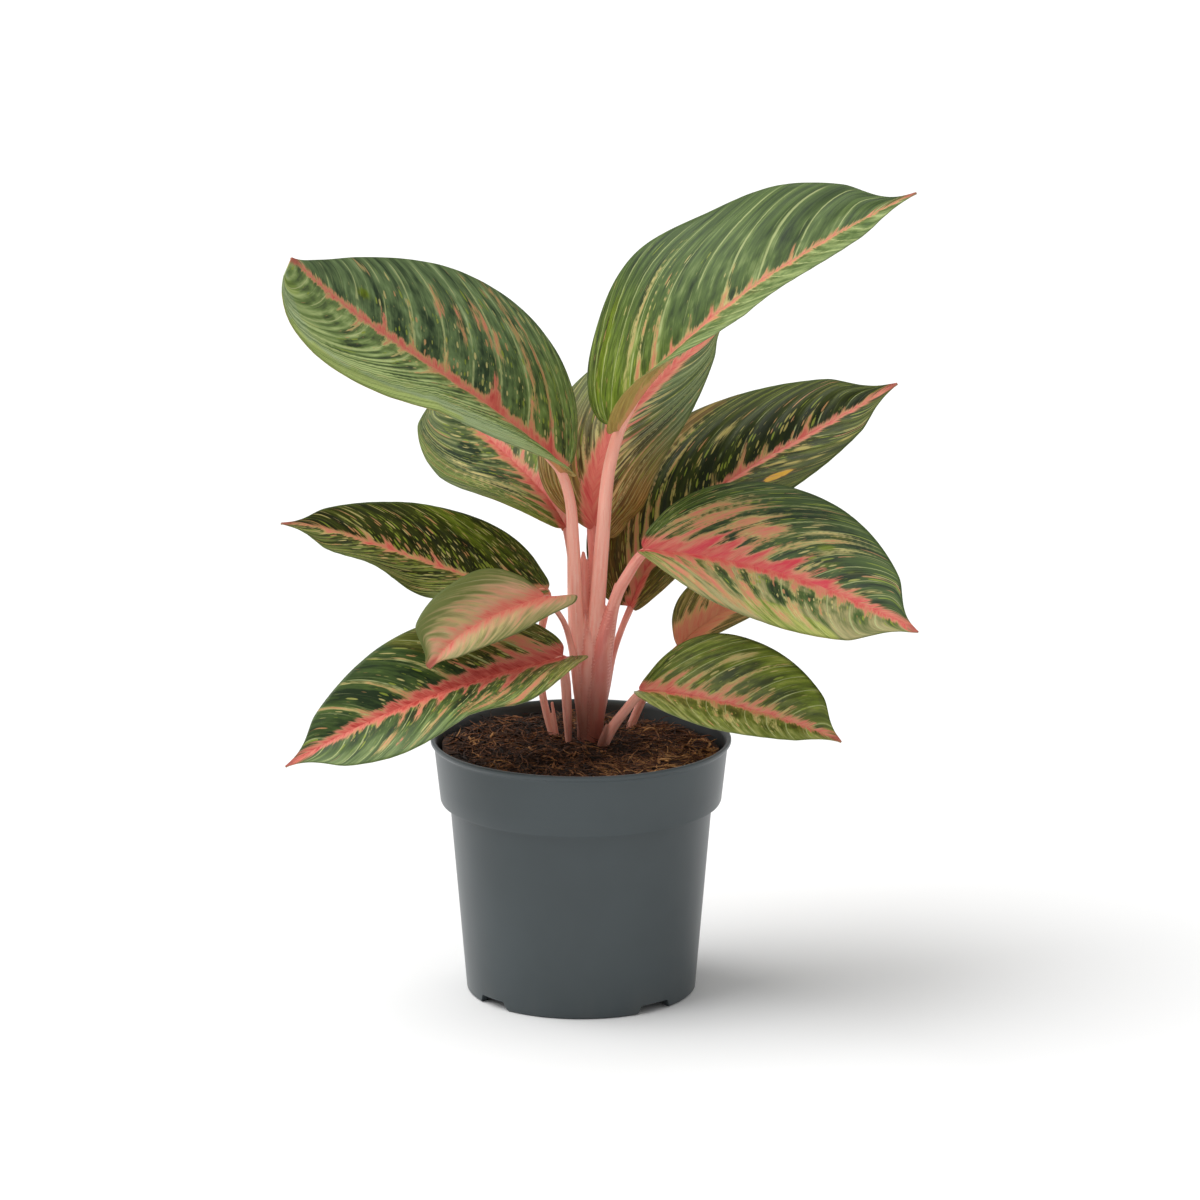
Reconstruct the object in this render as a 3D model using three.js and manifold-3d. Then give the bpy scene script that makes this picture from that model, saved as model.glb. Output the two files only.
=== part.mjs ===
// A potted aglaonema with olive, green and red leaves, in a plastic nursery pot.
// Millimetres, +Z up, the photographed front is -Y. Every piece is first placed
// round the pot's axis; the finished group is then moved so that the origin is
// the middle of the bounding box's underside.

import * as THREE from 'three';
import { mergeVertices } from 'three/addons/utils/BufferGeometryUtils.js';
import Module from 'manifold-3d';

const wasm = await Module();
wasm.setup();

// Clearance between pieces that touch on the real plant
const GAP = 0.35;

// Pot: a 12 cm nursery pot with a deep band under the lip
const POT_SEGMENTS = 48;
const POT_HEIGHT = 103.5;
const LIP_RADIUS = 60;
const LIP_THICKNESS = 1.6;
const BAND_TOP_RADIUS = 58.6;
const BAND_BOTTOM_RADIUS = 56.2;
const BAND_BOTTOM = 78;
const BODY_TOP_RADIUS = 52.4;
const FOOT_RADIUS = 46;
const FOOT_EDGE = 1.2;
const FOOT_WIDTH = 2.4;
const POT_WALL = 1.3;
const FLOOR_HEIGHT = 3.9;
const FLOOR_THICKNESS = 1.4;

// Four trapezoid drain notches are cut through the foot, below the floor
const NOTCH_HEIGHT = 3.6;
const NOTCH_HALF_WIDTH_BOTTOM = 9;
const NOTCH_HALF_WIDTH_TOP = 6.5;
const NOTCH_LENGTH = 8;
const NOTCH_ANGLES = [-45, 45, 135, 225];
const NOTCH_TURN = -5;

// Potting mix: it fills the pot and its top is a little uneven
const MIX_TOP = 99.2;
const MIX_RINGS = [12, 25, 38, 49, 55.6];
const MIX_SWELL = 0.9;
const MIX_TILT = -0.028;
const ROOT_DEPTH = 86;

// Plain holes in the mix that the shoots stand in: x, y and radius of each
const HOLE_SEGMENTS = 16;
const HOLES = [
  [3.4, 11, 5.6],
  [-5, 9, 1.9],
  [-10.8, 16.7, 2.9],
  [8.2, -0.3, 3.2],
  [19.7, 32, 2.3],
];

// Blades
const BLADE_THICKNESS = 0.9;
const RIB_AT_BASE = 1.5;
const RIB_AT_TIP = 0.2;
const BLADE_ROWS = 16;
const BLADE_COLUMNS = [0, 0.1, 0.4, 0.72, 1];
const NARROWEST = 0.012;
const NOTCH_CLEARANCE = 4;

// Where a basal lobe lies, in half-widths: its middle and half its breadth
const LOBE_MIDDLE = 0.45;
const LOBE_HALF = 0.38;

// Half of a flat blade, from the notch at its stalk to its tip. Each row is one
// side vein: where it leaves the midrib, how far along the blade it ends (both
// in blade lengths) and how far out it ends (in half-widths).
const HALF_BLADE = [
  [0.0, 0.0, 0.04],
  [0.004, -0.012, 0.2],
  [0.012, 0.012, 0.42],
  [0.03, 0.075, 0.68],
  [0.07, 0.185, 0.89],
  [0.16, 0.33, 1.0],
  [0.3, 0.5, 0.96],
  [0.46, 0.66, 0.81],
  [0.64, 0.81, 0.56],
  [0.8, 0.915, 0.29],
  [0.92, 0.97, 0.11],
  [1.0, 1.0, NARROWEST],
];

// The blades, each with values for its left and right half as seen from the
// stalk. midrib: four points from the stalk to the tip. width: half-widths.
// roll: turn about the midrib in degrees, at the stalk and at the tip. fold:
// how far each half rises from flat, in degrees, at even steps to the tip.
// curl: how far it bends back down by its edge. tip, base: exponents that fill
// out (under 1) or slim (over 1) that end. lobe: reach behind the stalk, in
// lengths. wave: height in millimetres, number and phase in degrees of the
// edge's waves.
const STILL = [0, 1, 0];
const LEAVES = {
  leaf_upper_left: {
    midrib: [[-7, 4, 212], [-41, -8, 244], [-78, -22, 273], [-111, -38, 305]],
    width: [41, 46], roll: [44, 46], fold: [[48, 30, -12], [20]], curl: [10, 10],
    tip: [0.32, 1.3], base: [1, 1.3], lobe: [0, 0], wave: [STILL, STILL],
  },
  leaf_upper_right: {
    midrib: [[14, 2, 229], [42, -4, 266], [83, -12, 299], [130, -18, 327]],
    width: [46, 28], roll: [-34, -32], fold: [[25], [48, 22, 18]], curl: [10, 0],
    tip: [1.35, 0.9], base: [1, 1], lobe: [0, 0], wave: [[3, 2, -110], [1.5, 2, 0]],
  },
  leaf_middle_left: {
    midrib: [[-6, 14, 186], [-20, 35, 201], [-39, 56, 215], [-58, 76, 232]],
    width: [35, 28], roll: [30, 30], fold: [[56, 26, 10], [20]], curl: [10, 20],
    tip: [0.75, 1], base: [1.1, 2], lobe: [0, 0], wave: [STILL, STILL],
  },
  leaf_centre_rear: {
    midrib: [[5, 14, 187], [10, 24, 217], [29, 40, 238], [59, 60, 262]],
    width: [28, 26], roll: [-5, -25], fold: [[15], [0]], curl: [10, 10],
    tip: [1, 1.4], base: [1.6, 0.8], lobe: [0, 0.05], wave: [STILL, STILL],
  },
  leaf_middle_right: {
    midrib: [[20, 25, 151], [44, 45, 185], [80, 60, 207], [128, 70, 233]],
    width: [36, 32], roll: [-35, -35], fold: [[20], [58, 30, 10]], curl: [20, 10],
    tip: [1, 1.1], base: [1.2, 1], lobe: [0, 0], wave: [STILL, STILL],
  },
  leaf_front_right: {
    midrib: [[25, 0, 180], [61, -12, 178], [95, -30, 172], [131, -55, 161]],
    width: [38, 36], roll: [-38, -34], fold: [[20], [47, 26, 10]], curl: [20, 10],
    tip: [1.2, 0.75], base: [1.4, 1.4], lobe: [0, 0], wave: [STILL, STILL],
  },
  leaf_left: {
    midrib: [[-14, 20, 159], [-48, 22, 165], [-86, 20, 179], [-119, 10, 189]],
    width: [26, 27], roll: [34, 30], fold: [[40, 25, 10], [20]], curl: [10, 10],
    tip: [0.8, 1.5], base: [1.4, 1.4], lobe: [0, 0], wave: [[4, 2, -40], STILL],
  },
  leaf_small_front: {
    midrib: [[-15, -8, 163], [-32, -18, 159], [-47, -30, 153], [-59, -40, 142]],
    width: [15, 20], roll: [40, 40], fold: [[28], [20]], curl: [10, 20],
    tip: [1, 0.4], base: [0.7, 1.8], lobe: [0.2, 0], wave: [STILL, STILL],
  },
  leaf_lower_left: {
    midrib: [[-7, -10, 139], [-39, -25, 134], [-74, -45, 126], [-115, -60, 108]],
    width: [37, 29], roll: [40, 40], fold: [[50, 44, 10], [20]], curl: [10, 20],
    tip: [1.1, 1.25], base: [0.8, 1.1], lobe: [0.06, 0], wave: [[4, 2, 95], STILL],
  },
  leaf_lower_right: {
    midrib: [[24, -2, 123], [50, -15, 123], [76, -30, 120], [102, -45, 114]],
    width: [28, 27], roll: [-45, -40], fold: [[20], [58, 42, 32]], curl: [10, 10],
    tip: [1, 1.1], base: [1.8, 1.2], lobe: [0, 0], wave: [STILL, STILL],
  },
  leaf_right_rear: {
    midrib: [[40, 28, 134], [55, 45, 142], [75, 60, 149], [98, 75, 154]],
    width: [17, 13], roll: [-40, -40], fold: [[20], [52, 38, 30]], curl: [10, 10],
    tip: [1, 1], base: [1.3, 1], lobe: [0, 0], wave: [STILL, STILL],
  },
};

// Stalks, from the potting mix up: x, y, z and radius of each point. One that
// carries a blade ends under that blade's base, at the radius given last.
const STALK_SIDES = 8;
const STALK_STEP = 7;
const SHOOTS = {
  main_shoot: [
    { path: [[3.4, 11, 97.6, 4.4], [3.6, 10.5, 109.8, 5.4], [4, 10, 120, 6.2],
      [4, 9.5, 133, 6.2], [4, 9, 143, 4.8], [4, 8.5, 153, 2]], rooted: true },
    { path: [[2.2, 11, 97, 2.4], [0.4, 9, 120, 3.4], [-2, 7, 150, 3.2], [-3, 5, 181, 2.6],
      [-4.4, 4, 200, 2.2]], blade: 'leaf_upper_left', radius: 2 },
    { path: [[3.6, 10, 97, 2.6], [5.2, 8, 125, 3.2], [6.4, 6, 158, 3.2], [8.8, 5, 187, 2.9],
      [11.2, 4, 212, 2.6]], blade: 'leaf_upper_right', radius: 2.3 },
    { path: [[2.2, 12, 97, 2.2], [0, 12, 120, 2.6], [-1.6, 12, 149, 2.2], [-3.2, 12, 171, 1.9]],
      blade: 'leaf_middle_left', radius: 1.7 },
    { path: [[3.6, 12.5, 97, 2.2], [4, 13, 119, 2.6], [4, 12, 149, 2.6], [5.2, 12, 174, 2.3]],
      blade: 'leaf_centre_rear', radius: 2 },
    { path: [[4.6, 9.6, 97, 2.4], [8, 7, 121, 3.2], [10.4, 5, 142, 3], [13.6, 3, 159, 2.5],
      [18.7, 1, 170, 2.3]], blade: 'leaf_front_right', radius: 2 },
    { path: [[5.2, 11.6, 97, 1.6], [10, 14, 119, 1.6], [12.8, 17, 133, 1.5], [16.4, 21, 143, 1.4]],
      blade: 'leaf_middle_right', radius: 1.5 },
    { path: [[1.4, 9.4, 97, 1.5], [-1.6, 6, 121, 1.6], [-4, 2, 141, 1.4], [-8, -4, 154, 1.2]],
      blade: 'leaf_small_front', radius: 1.2 },
  ],
  stalk_lower_left: [
    { path: [[-5, 9, 98.5, 1.4], [-5.4, 5, 111, 1.9], [-6, 0, 125, 2.1], [-6.6, -5, 132.5, 1.9]],
      blade: 'leaf_lower_left', radius: 1.7, rooted: true },
  ],
  side_shoot_left: [
    { path: [[-11.3, 17, 98, 1.6], [-13.7, 17, 108, 1.6], [-16, 17, 120.5, 1.6],
      [-16.4, 18, 139, 1.6]], blade: 'leaf_left', radius: 1.6, rooted: true },
    { path: [[-9.7, 16, 98.3, 1], [-10.5, 16, 105.4, 0.9], [-11.7, 15, 114, 0.7]], rooted: true },
  ],
  side_shoot_right: [
    { path: [[8.4, 0, 98.5, 2.4], [12.4, 0, 107, 2.2], [17.2, -1, 114, 2]],
      blade: 'leaf_lower_right', radius: 1.8, rooted: true },
    { path: [[7.6, -1, 98.5, 1.6], [8.8, -2, 104, 1.3], [10.4, -2, 109.4, 0.6]], rooted: true },
  ],
  side_shoot_right_rear: [
    { path: [[19.7, 32, 97.5, 1.8], [22.1, 32, 104.4, 1.8], [26.2, 31, 113.5, 1.7],
      [32.2, 30, 125, 1.5]], blade: 'leaf_right_rear', radius: 1.4, rooted: true },
  ],
};

const COLOURS = {
  pot: 0x4b5558,
  mix: 0x3c2618,
  stalk: 0xe2988a,
  leaf: 0x3f5e2a,
};

const UP = new THREE.Vector3(0, 0, 1);

function lerpList(values, at) {
  const place = THREE.MathUtils.clamp(at, 0, 1) * (values.length - 1);
  const low = Math.min(Math.floor(place), Math.max(values.length - 2, 0));
  const high = Math.min(low + 1, values.length - 1);
  return THREE.MathUtils.lerp(values[low], values[high], place - low);
}

// A point of the half-blade outline, smoothed through its rows
function outlineAt(at) {
  const last = HALF_BLADE.length - 1;
  const place = THREE.MathUtils.clamp(at, 0, 1) * last;
  const i = Math.min(Math.floor(place), last - 1);
  const k = place - i;
  const row = (n) => HALF_BLADE[THREE.MathUtils.clamp(n, 0, last)];
  const [before, from, to, after] = [row(i - 1), row(i), row(i + 1), row(i + 2)];
  return from.map((p1, c) => {
    const p0 = before[c];
    const p2 = to[c];
    const p3 = after[c];
    const cubic = 3 * (p1 - p2) + p3 - p0;
    const square = 2 * p0 - 5 * p1 + 4 * p2 - p3;
    return p1 + 0.5 * k * (p2 - p0 + k * (square + k * cubic));
  });
}

// A blade's midrib as one Bezier curve through its four points
function midribCurve(points) {
  const [a, b, c, d] = points.map((p) => new THREE.Vector3(...p));
  const mix = (wa, wb, wc, wd) => new THREE.Vector3()
    .addScaledVector(a, wa / 6)
    .addScaledVector(b, wb / 6)
    .addScaledVector(c, wc / 6)
    .addScaledVector(d, wd / 6);
  return new THREE.CubicBezierCurve3(a, mix(-5, 18, -9, 2), mix(2, -9, 18, -5), d);
}

// The blade's frame at a place along it: centre, along, right and upward
function bladeFrame(leaf, at) {
  const place = THREE.MathUtils.clamp(at, 0, 1);
  const along = leaf.curve.getTangentAt(place);
  const centre = leaf.curve.getPointAt(place).addScaledVector(along, (at - place) * leaf.length);
  const side = new THREE.Vector3().crossVectors(along, UP).normalize();
  const up = new THREE.Vector3().crossVectors(side, along);
  const roll = THREE.MathUtils.degToRad(lerpList(leaf.roll, place));
  return {
    centre,
    along,
    right: side.clone().multiplyScalar(Math.cos(roll)).addScaledVector(up, Math.sin(roll)),
    upward: up.clone().multiplyScalar(Math.cos(roll)).addScaledVector(side, -Math.sin(roll)),
  };
}

// A point of the blade's upper face with its normal. vein runs 0 to 1 from the
// stalk to the tip, out runs 0 to 1 from the midrib to the edge, swell widens
// the outline by that many millimetres.
function bladePoint(leaf, half, vein, out, swell = 0) {
  const [root, reach, spread] = outlineAt(vein);
  const width = leaf.width[half];
  const tipShare = THREE.MathUtils.clamp((reach - 0.33) / 0.3, 0, 1);
  const baseShare = THREE.MathUtils.clamp((0.33 - reach) / 0.3, 0, 1);
  const shape = 1 + (leaf.tip[half] - 1) * tipShare + (leaf.base[half] - 1) * baseShare;
  const lobe = reach < 0.33 ? leaf.lobe[half] * Math.exp(-(((spread - LOBE_MIDDLE) / LOBE_HALF) ** 4)) : 0;
  const x = root + (reach - lobe - root) * out;
  const y = (Math.max(spread, NARROWEST) ** shape * width + swell) * out;
  const frame = bladeFrame(leaf, x);
  const fold = THREE.MathUtils.degToRad(lerpList(leaf.fold[half], x));
  const bend = THREE.MathUtils.degToRad(leaf.curl[half]) / width + 1e-6;
  const slope = fold - bend * y;
  const across = (Math.sin(fold) - Math.sin(slope)) / bend;
  const [waveHeight, waves, phase] = leaf.wave[half];
  const swing = Math.sin(2 * Math.PI * waves * x + THREE.MathUtils.degToRad(phase));
  const rise = (Math.cos(slope) - Math.cos(fold)) / bend + waveHeight * swing * (y / width) ** 2;
  const side = half === 0 ? -1 : 1;
  return {
    point: frame.centre
      .addScaledVector(frame.right, side * across)
      .addScaledVector(frame.upward, rise),
    normal: frame.upward.multiplyScalar(Math.cos(slope))
      .addScaledVector(frame.right, -side * Math.sin(slope)),
    along: frame.along,
  };
}

// One closed blade: both faces are split alike, with a rib under the midrib.
// A clearance grows it all round, for cutting what must stay clear of it.
function bladeGeometry(leaf, clearance = 0) {
  const columns = [
    ...BLADE_COLUMNS.slice(1).reverse().map((out) => [0, out]),
    ...BLADE_COLUMNS.map((out) => [1, out]),
  ];
  const width = columns.length;
  const upper = [];
  const lower = [];
  for (let row = 0; row <= BLADE_ROWS; row += 1) {
    const vein = row / BLADE_ROWS;
    const rib = THREE.MathUtils.lerp(RIB_AT_BASE, RIB_AT_TIP, outlineAt(vein)[0]);
    columns.forEach(([half, out]) => {
      const { point, normal, along } = bladePoint(leaf, half, vein, out, clearance);
      if (row === 0) point.addScaledVector(along, -NOTCH_CLEARANCE * clearance);
      if (row === BLADE_ROWS) point.addScaledVector(along, clearance);
      const depth = BLADE_THICKNESS + (out === 0 ? rib : 0) + clearance;
      upper.push(point.clone().addScaledVector(normal, clearance));
      lower.push(point.clone().addScaledVector(normal, -depth));
    });
  }
  const index = [];
  const count = upper.length;
  for (let row = 0; row < BLADE_ROWS; row += 1) {
    for (let column = 0; column < width - 1; column += 1) {
      const a = row * width + column;
      const b = a + 1;
      const c = a + width;
      const d = c + 1;
      index.push(a, b, d, a, d, c);
      index.push(count + a, count + d, count + b, count + a, count + c, count + d);
    }
  }
  const rim = [];
  for (let column = 0; column < width; column += 1) rim.push(column);
  for (let row = 1; row <= BLADE_ROWS; row += 1) rim.push(row * width + width - 1);
  for (let column = width - 2; column >= 0; column -= 1) rim.push(BLADE_ROWS * width + column);
  for (let row = BLADE_ROWS - 1; row > 0; row -= 1) rim.push(row * width);
  rim.forEach((from, i) => {
    const to = rim[(i + 1) % rim.length];
    index.push(from, count + to, to, from, count + from, count + to);
  });
  const geometry = new THREE.BufferGeometry().setFromPoints([...upper, ...lower]);
  geometry.setIndex(index);
  return geometry;
}

// A tapered stalk with rounded sides along a smooth path, closed at both ends
function stalkGeometry(points, radii) {
  const curve = new THREE.CatmullRomCurve3(points, false, 'centripetal');
  const steps = Math.max(2, Math.round(curve.getLength() / STALK_STEP));
  const frames = curve.computeFrenetFrames(steps, false);
  const vertices = [];
  const index = [];
  for (let step = 0; step <= steps; step += 1) {
    const at = step / steps;
    const radius = lerpList(radii, curve.getUtoTmapping(at));
    for (let side = 0; side < STALK_SIDES; side += 1) {
      const angle = (2 * Math.PI * side) / STALK_SIDES;
      vertices.push(curve.getPointAt(at)
        .addScaledVector(frames.normals[step], radius * Math.cos(angle))
        .addScaledVector(frames.binormals[step], radius * Math.sin(angle)));
    }
  }
  for (let step = 0; step < steps; step += 1) {
    for (let side = 0; side < STALK_SIDES; side += 1) {
      const a = step * STALK_SIDES + side;
      const b = step * STALK_SIDES + ((side + 1) % STALK_SIDES);
      index.push(a, b, b + STALK_SIDES, a, b + STALK_SIDES, a + STALK_SIDES);
    }
  }
  const top = steps * STALK_SIDES;
  for (let side = 1; side < STALK_SIDES - 1; side += 1) {
    index.push(0, side + 1, side, top, top + side, top + side + 1);
  }
  const geometry = new THREE.BufferGeometry().setFromPoints(vertices);
  geometry.setIndex(index);
  return geometry;
}

function toSolid(geometry) {
  const bare = geometry.clone();
  ['normal', 'uv'].forEach((name) => bare.deleteAttribute(name));
  const merged = mergeVertices(bare, 1e-4);
  return new wasm.Manifold(new wasm.Mesh({
    numProp: 3,
    vertProperties: new Float32Array(merged.attributes.position.array),
    triVerts: new Uint32Array(merged.index.array),
  }));
}

function toGeometry(solid) {
  const mesh = solid.getMesh();
  const geometry = new THREE.BufferGeometry();
  geometry.setAttribute('position', new THREE.BufferAttribute(mesh.vertProperties, mesh.numProp));
  geometry.setIndex(new THREE.BufferAttribute(mesh.triVerts, 1));
  return geometry;
}

function union(solids) {
  return solids.reduce((whole, solid) => whole.add(solid));
}

function largestPiece(solid) {
  return solid.decompose().reduce((best, piece) => (piece.volume() > best.volume() ? piece : best));
}

function latheUp(outline, segments) {
  const profile = outline.map(([radius, height]) => new THREE.Vector2(radius, height));
  return new THREE.LatheGeometry(profile, segments).rotateX(Math.PI / 2);
}

// The pot's section: up the outside, over the lip, down the inside, then under
// the raised floor to the foot ring that it stands on
function potGeometry() {
  const floorTop = FLOOR_HEIGHT + FLOOR_THICKNESS;
  const lipBottom = POT_HEIGHT - LIP_THICKNESS;
  const shelf = BAND_BOTTOM + POT_WALL;
  const section = [
    [0, floorTop],
    [FOOT_RADIUS - POT_WALL, floorTop],
    [BODY_TOP_RADIUS - POT_WALL, BAND_BOTTOM],
    [BODY_TOP_RADIUS - POT_WALL + 0.6, shelf],
    [BAND_BOTTOM_RADIUS - POT_WALL, shelf],
    [BAND_TOP_RADIUS - POT_WALL, lipBottom],
    [LIP_RADIUS - LIP_THICKNESS, POT_HEIGHT],
    [LIP_RADIUS - 0.3, POT_HEIGHT],
    [LIP_RADIUS, POT_HEIGHT - 0.4],
    [LIP_RADIUS, lipBottom],
    [BAND_TOP_RADIUS, lipBottom - 0.4],
    [BAND_BOTTOM_RADIUS, BAND_BOTTOM + 0.8],
    [BAND_BOTTOM_RADIUS - 0.8, BAND_BOTTOM],
    [BODY_TOP_RADIUS, BAND_BOTTOM - 0.4],
    [FOOT_RADIUS, FOOT_EDGE],
    [FOOT_RADIUS - FOOT_EDGE / 3, FOOT_EDGE / 3],
    [FOOT_RADIUS - FOOT_EDGE, 0],
    [FOOT_RADIUS - FOOT_EDGE - FOOT_WIDTH, 0],
    [FOOT_RADIUS - FOOT_EDGE - FOOT_WIDTH, FLOOR_HEIGHT],
    [0, FLOOR_HEIGHT],
  ].reverse();
  const notchFace = new THREE.Shape([
    new THREE.Vector2(-NOTCH_HALF_WIDTH_BOTTOM, -1),
    new THREE.Vector2(NOTCH_HALF_WIDTH_BOTTOM, -1),
    new THREE.Vector2(NOTCH_HALF_WIDTH_TOP, NOTCH_HEIGHT),
    new THREE.Vector2(-NOTCH_HALF_WIDTH_TOP, NOTCH_HEIGHT),
  ]);
  const notch = new THREE.ExtrudeGeometry(notchFace, { depth: NOTCH_LENGTH, bevelEnabled: false })
    .rotateX(Math.PI / 2)
    .translate(0, NOTCH_LENGTH - FOOT_RADIUS - 2, 0);
  const notches = NOTCH_ANGLES.map((angle) => {
    const turn = THREE.MathUtils.degToRad(angle + NOTCH_TURN);
    return toSolid(notch.clone().rotateZ(turn));
  });
  return toGeometry(toSolid(latheUp(section, POT_SEGMENTS)).subtract(union(notches)));
}

// The potting mix follows the pot's inside at GAP and has a hole per shoot
function mixGeometry() {
  const inner = (radius) => radius - POT_WALL - GAP;
  const shelf = BAND_BOTTOM + POT_WALL + GAP;
  const bottom = FLOOR_HEIGHT + FLOOR_THICKNESS + GAP;
  const section = [
    [0, bottom],
    [inner(FOOT_RADIUS), bottom],
    [inner(BODY_TOP_RADIUS), shelf],
    [inner(BAND_BOTTOM_RADIUS), shelf],
    ...MIX_RINGS.toReversed().map((radius) => [radius, MIX_TOP]),
    [0, MIX_TOP],
  ];
  const geometry = latheUp(section, POT_SEGMENTS);
  const position = geometry.attributes.position;
  for (let i = 0; i < position.count; i += 1) {
    if (position.getZ(i) < MIX_TOP - 0.01) continue;
    const x = position.getX(i);
    const y = position.getY(i);
    const bumps = Math.sin(x * 0.11 + 1.3) * Math.cos(y * 0.13 - 0.4);
    position.setZ(i, MIX_TOP + MIX_SWELL * bumps + MIX_TILT * x);
  }
  const depth = 2 * (MIX_TOP - ROOT_DEPTH);
  const holes = HOLES.map(([x, y, radius]) => {
    const hole = new THREE.CylinderGeometry(radius, radius, depth, HOLE_SEGMENTS).rotateX(Math.PI / 2);
    return toSolid(hole.translate(x, y, ROOT_DEPTH - GAP + depth / 2));
  });
  return toGeometry(toSolid(geometry).subtract(union(holes)));
}

// One stalk, from the floor of its hole up to its end or to its blade's base
function stalkSolid(stalk) {
  const points = stalk.path.map(([x, y, z]) => new THREE.Vector3(x, y, z));
  const radii = stalk.path.map((row) => row[3]);
  if (stalk.rooted) {
    points.unshift(new THREE.Vector3(stalk.path[0][0], stalk.path[0][1], ROOT_DEPTH));
    radii.unshift(radii[0]);
  }
  if (stalk.blade) {
    const { centre, along, upward } = bladeFrame(LEAVES[stalk.blade], 0);
    points.push(centre.addScaledVector(along, 0.6).addScaledVector(upward, -stalk.radius));
    radii.push(stalk.radius);
  }
  return toSolid(stalkGeometry(points, radii));
}

function named(name, geometry, colour, roughness) {
  const material = new THREE.MeshStandardMaterial({ color: colour, roughness, metalness: 0 });
  const mesh = new THREE.Mesh(geometry, material);
  mesh.name = name;
  return mesh;
}

Object.values(LEAVES).forEach((leaf) => {
  leaf.curve = midribCurve(leaf.midrib);
  leaf.length = leaf.curve.getLength();
});

const plant = new THREE.Group();
plant.add(named('pot', potGeometry(), COLOURS.pot, 0.45));

plant.add(named('potting_mix', mixGeometry(), COLOURS.mix, 1));

Object.entries(SHOOTS).forEach(([name, stalks]) => {
  const clearings = stalks.filter((stalk) => stalk.blade)
    .map((stalk) => toSolid(bladeGeometry(LEAVES[stalk.blade], GAP)));
  const shoot = largestPiece(union(stalks.map((stalk) => stalkSolid(stalk))).subtract(union(clearings)));
  plant.add(named(name, toGeometry(shoot), COLOURS.stalk, 0.5));
});

Object.entries(LEAVES).forEach(([name, leaf]) => {
  plant.add(named(name, bladeGeometry(leaf), COLOURS.leaf, 0.4));
});

// The origin is the middle of the bounding box's underside
const bounds = new THREE.Box3().setFromObject(plant);
const middle = bounds.getCenter(new THREE.Vector3());
plant.position.set(-middle.x, -middle.y, -bounds.min.z);

export default plant;
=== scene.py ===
"""Looks of a potted aglaonema with olive, green and red leaves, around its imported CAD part.

Lengths in this file are millimetres round the pot's axis, as in the part's source, and are
turned into metres where a mesh is made.
"""

import logging
import math
from dataclasses import dataclass, field
from enum import Enum
from typing import Sequence, Union

import bpy
import numpy as np
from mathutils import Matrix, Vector
from mathutils.kdtree import KDTree


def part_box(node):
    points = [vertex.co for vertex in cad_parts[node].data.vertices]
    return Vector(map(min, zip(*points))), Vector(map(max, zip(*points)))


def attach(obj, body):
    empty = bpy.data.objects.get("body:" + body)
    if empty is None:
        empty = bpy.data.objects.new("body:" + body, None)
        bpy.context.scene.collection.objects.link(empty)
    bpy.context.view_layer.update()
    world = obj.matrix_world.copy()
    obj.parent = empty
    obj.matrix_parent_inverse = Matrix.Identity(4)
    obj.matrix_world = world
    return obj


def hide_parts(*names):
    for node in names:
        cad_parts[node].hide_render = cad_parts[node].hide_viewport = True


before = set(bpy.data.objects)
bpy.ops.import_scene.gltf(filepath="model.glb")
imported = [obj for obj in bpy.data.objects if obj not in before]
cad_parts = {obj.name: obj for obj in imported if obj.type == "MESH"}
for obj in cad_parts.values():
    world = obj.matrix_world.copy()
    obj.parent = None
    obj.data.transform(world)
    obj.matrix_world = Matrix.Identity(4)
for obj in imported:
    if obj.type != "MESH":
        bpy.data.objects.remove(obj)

LOG = logging.getLogger("aglaonema")
MM = 0.001
SEED = 11
Array = np.ndarray
Colour = tuple[float, float, float]
Face = tuple[int, ...]
Material = bpy.types.Material
Node = bpy.types.Node
Piece = bpy.types.Object
Socket = bpy.types.NodeSocket
Value = Union[float, int, str, bool, Colour, bpy.types.ID, Socket]


# Small helpers


def srgb(red: int, green: int, blue: int) -> Colour:
    """Linear colour of a screen colour.

    Args:
        red: Screen value, 0 to 255.
        green: Screen value, 0 to 255.
        blue: Screen value, 0 to 255.

    Returns:
        The three linear values.
    """
    def linear(value: int) -> float:
        """One linear channel."""
        share = value / 255
        return share / 12.92 if share <= 0.04045 else ((share + 0.055) / 1.055) ** 2.4
    return linear(red), linear(green), linear(blue)


def pot_axis() -> Vector:
    """The pot's axis on the floor, in metres."""
    low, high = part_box("pot")
    return Vector(((low.x + high.x) / 2, (low.y + high.y) / 2, 0.0))


AXIS = pot_axis()


def placed(points: Array) -> Array:
    """Points round the pot's axis, in millimetres, as metres in the part's frame."""
    return np.asarray(points, float) * MM + np.array(AXIS)


def smoothstep(values: Array, low: float, high: float) -> Array:
    """Rises smoothly from 0 at low to 1 at high."""
    share = np.clip((values - low) / (high - low), 0, 1)
    return share * share * (3 - 2 * share)


def catmull(rows: Array, at: Array) -> Array:
    """Rows of a table, read smoothly at places 0 to 1.

    Args:
        rows: The table.
        at: The places.

    Returns:
        One row for each place.
    """
    last = len(rows) - 1
    place = np.clip(at, 0, 1) * last
    i = np.minimum(place.astype(int), last - 1)
    k = (place - i)[..., None]
    p0, p1, p2, p3 = (rows[np.clip(i + n, 0, last)] for n in (-1, 0, 1, 2))
    cubic = 3 * (p1 - p2) + p3 - p0
    square = 2 * p0 - 5 * p1 + 4 * p2 - p3
    return p1 + 0.5 * k * (p2 - p0 + k * (square + k * cubic))


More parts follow.
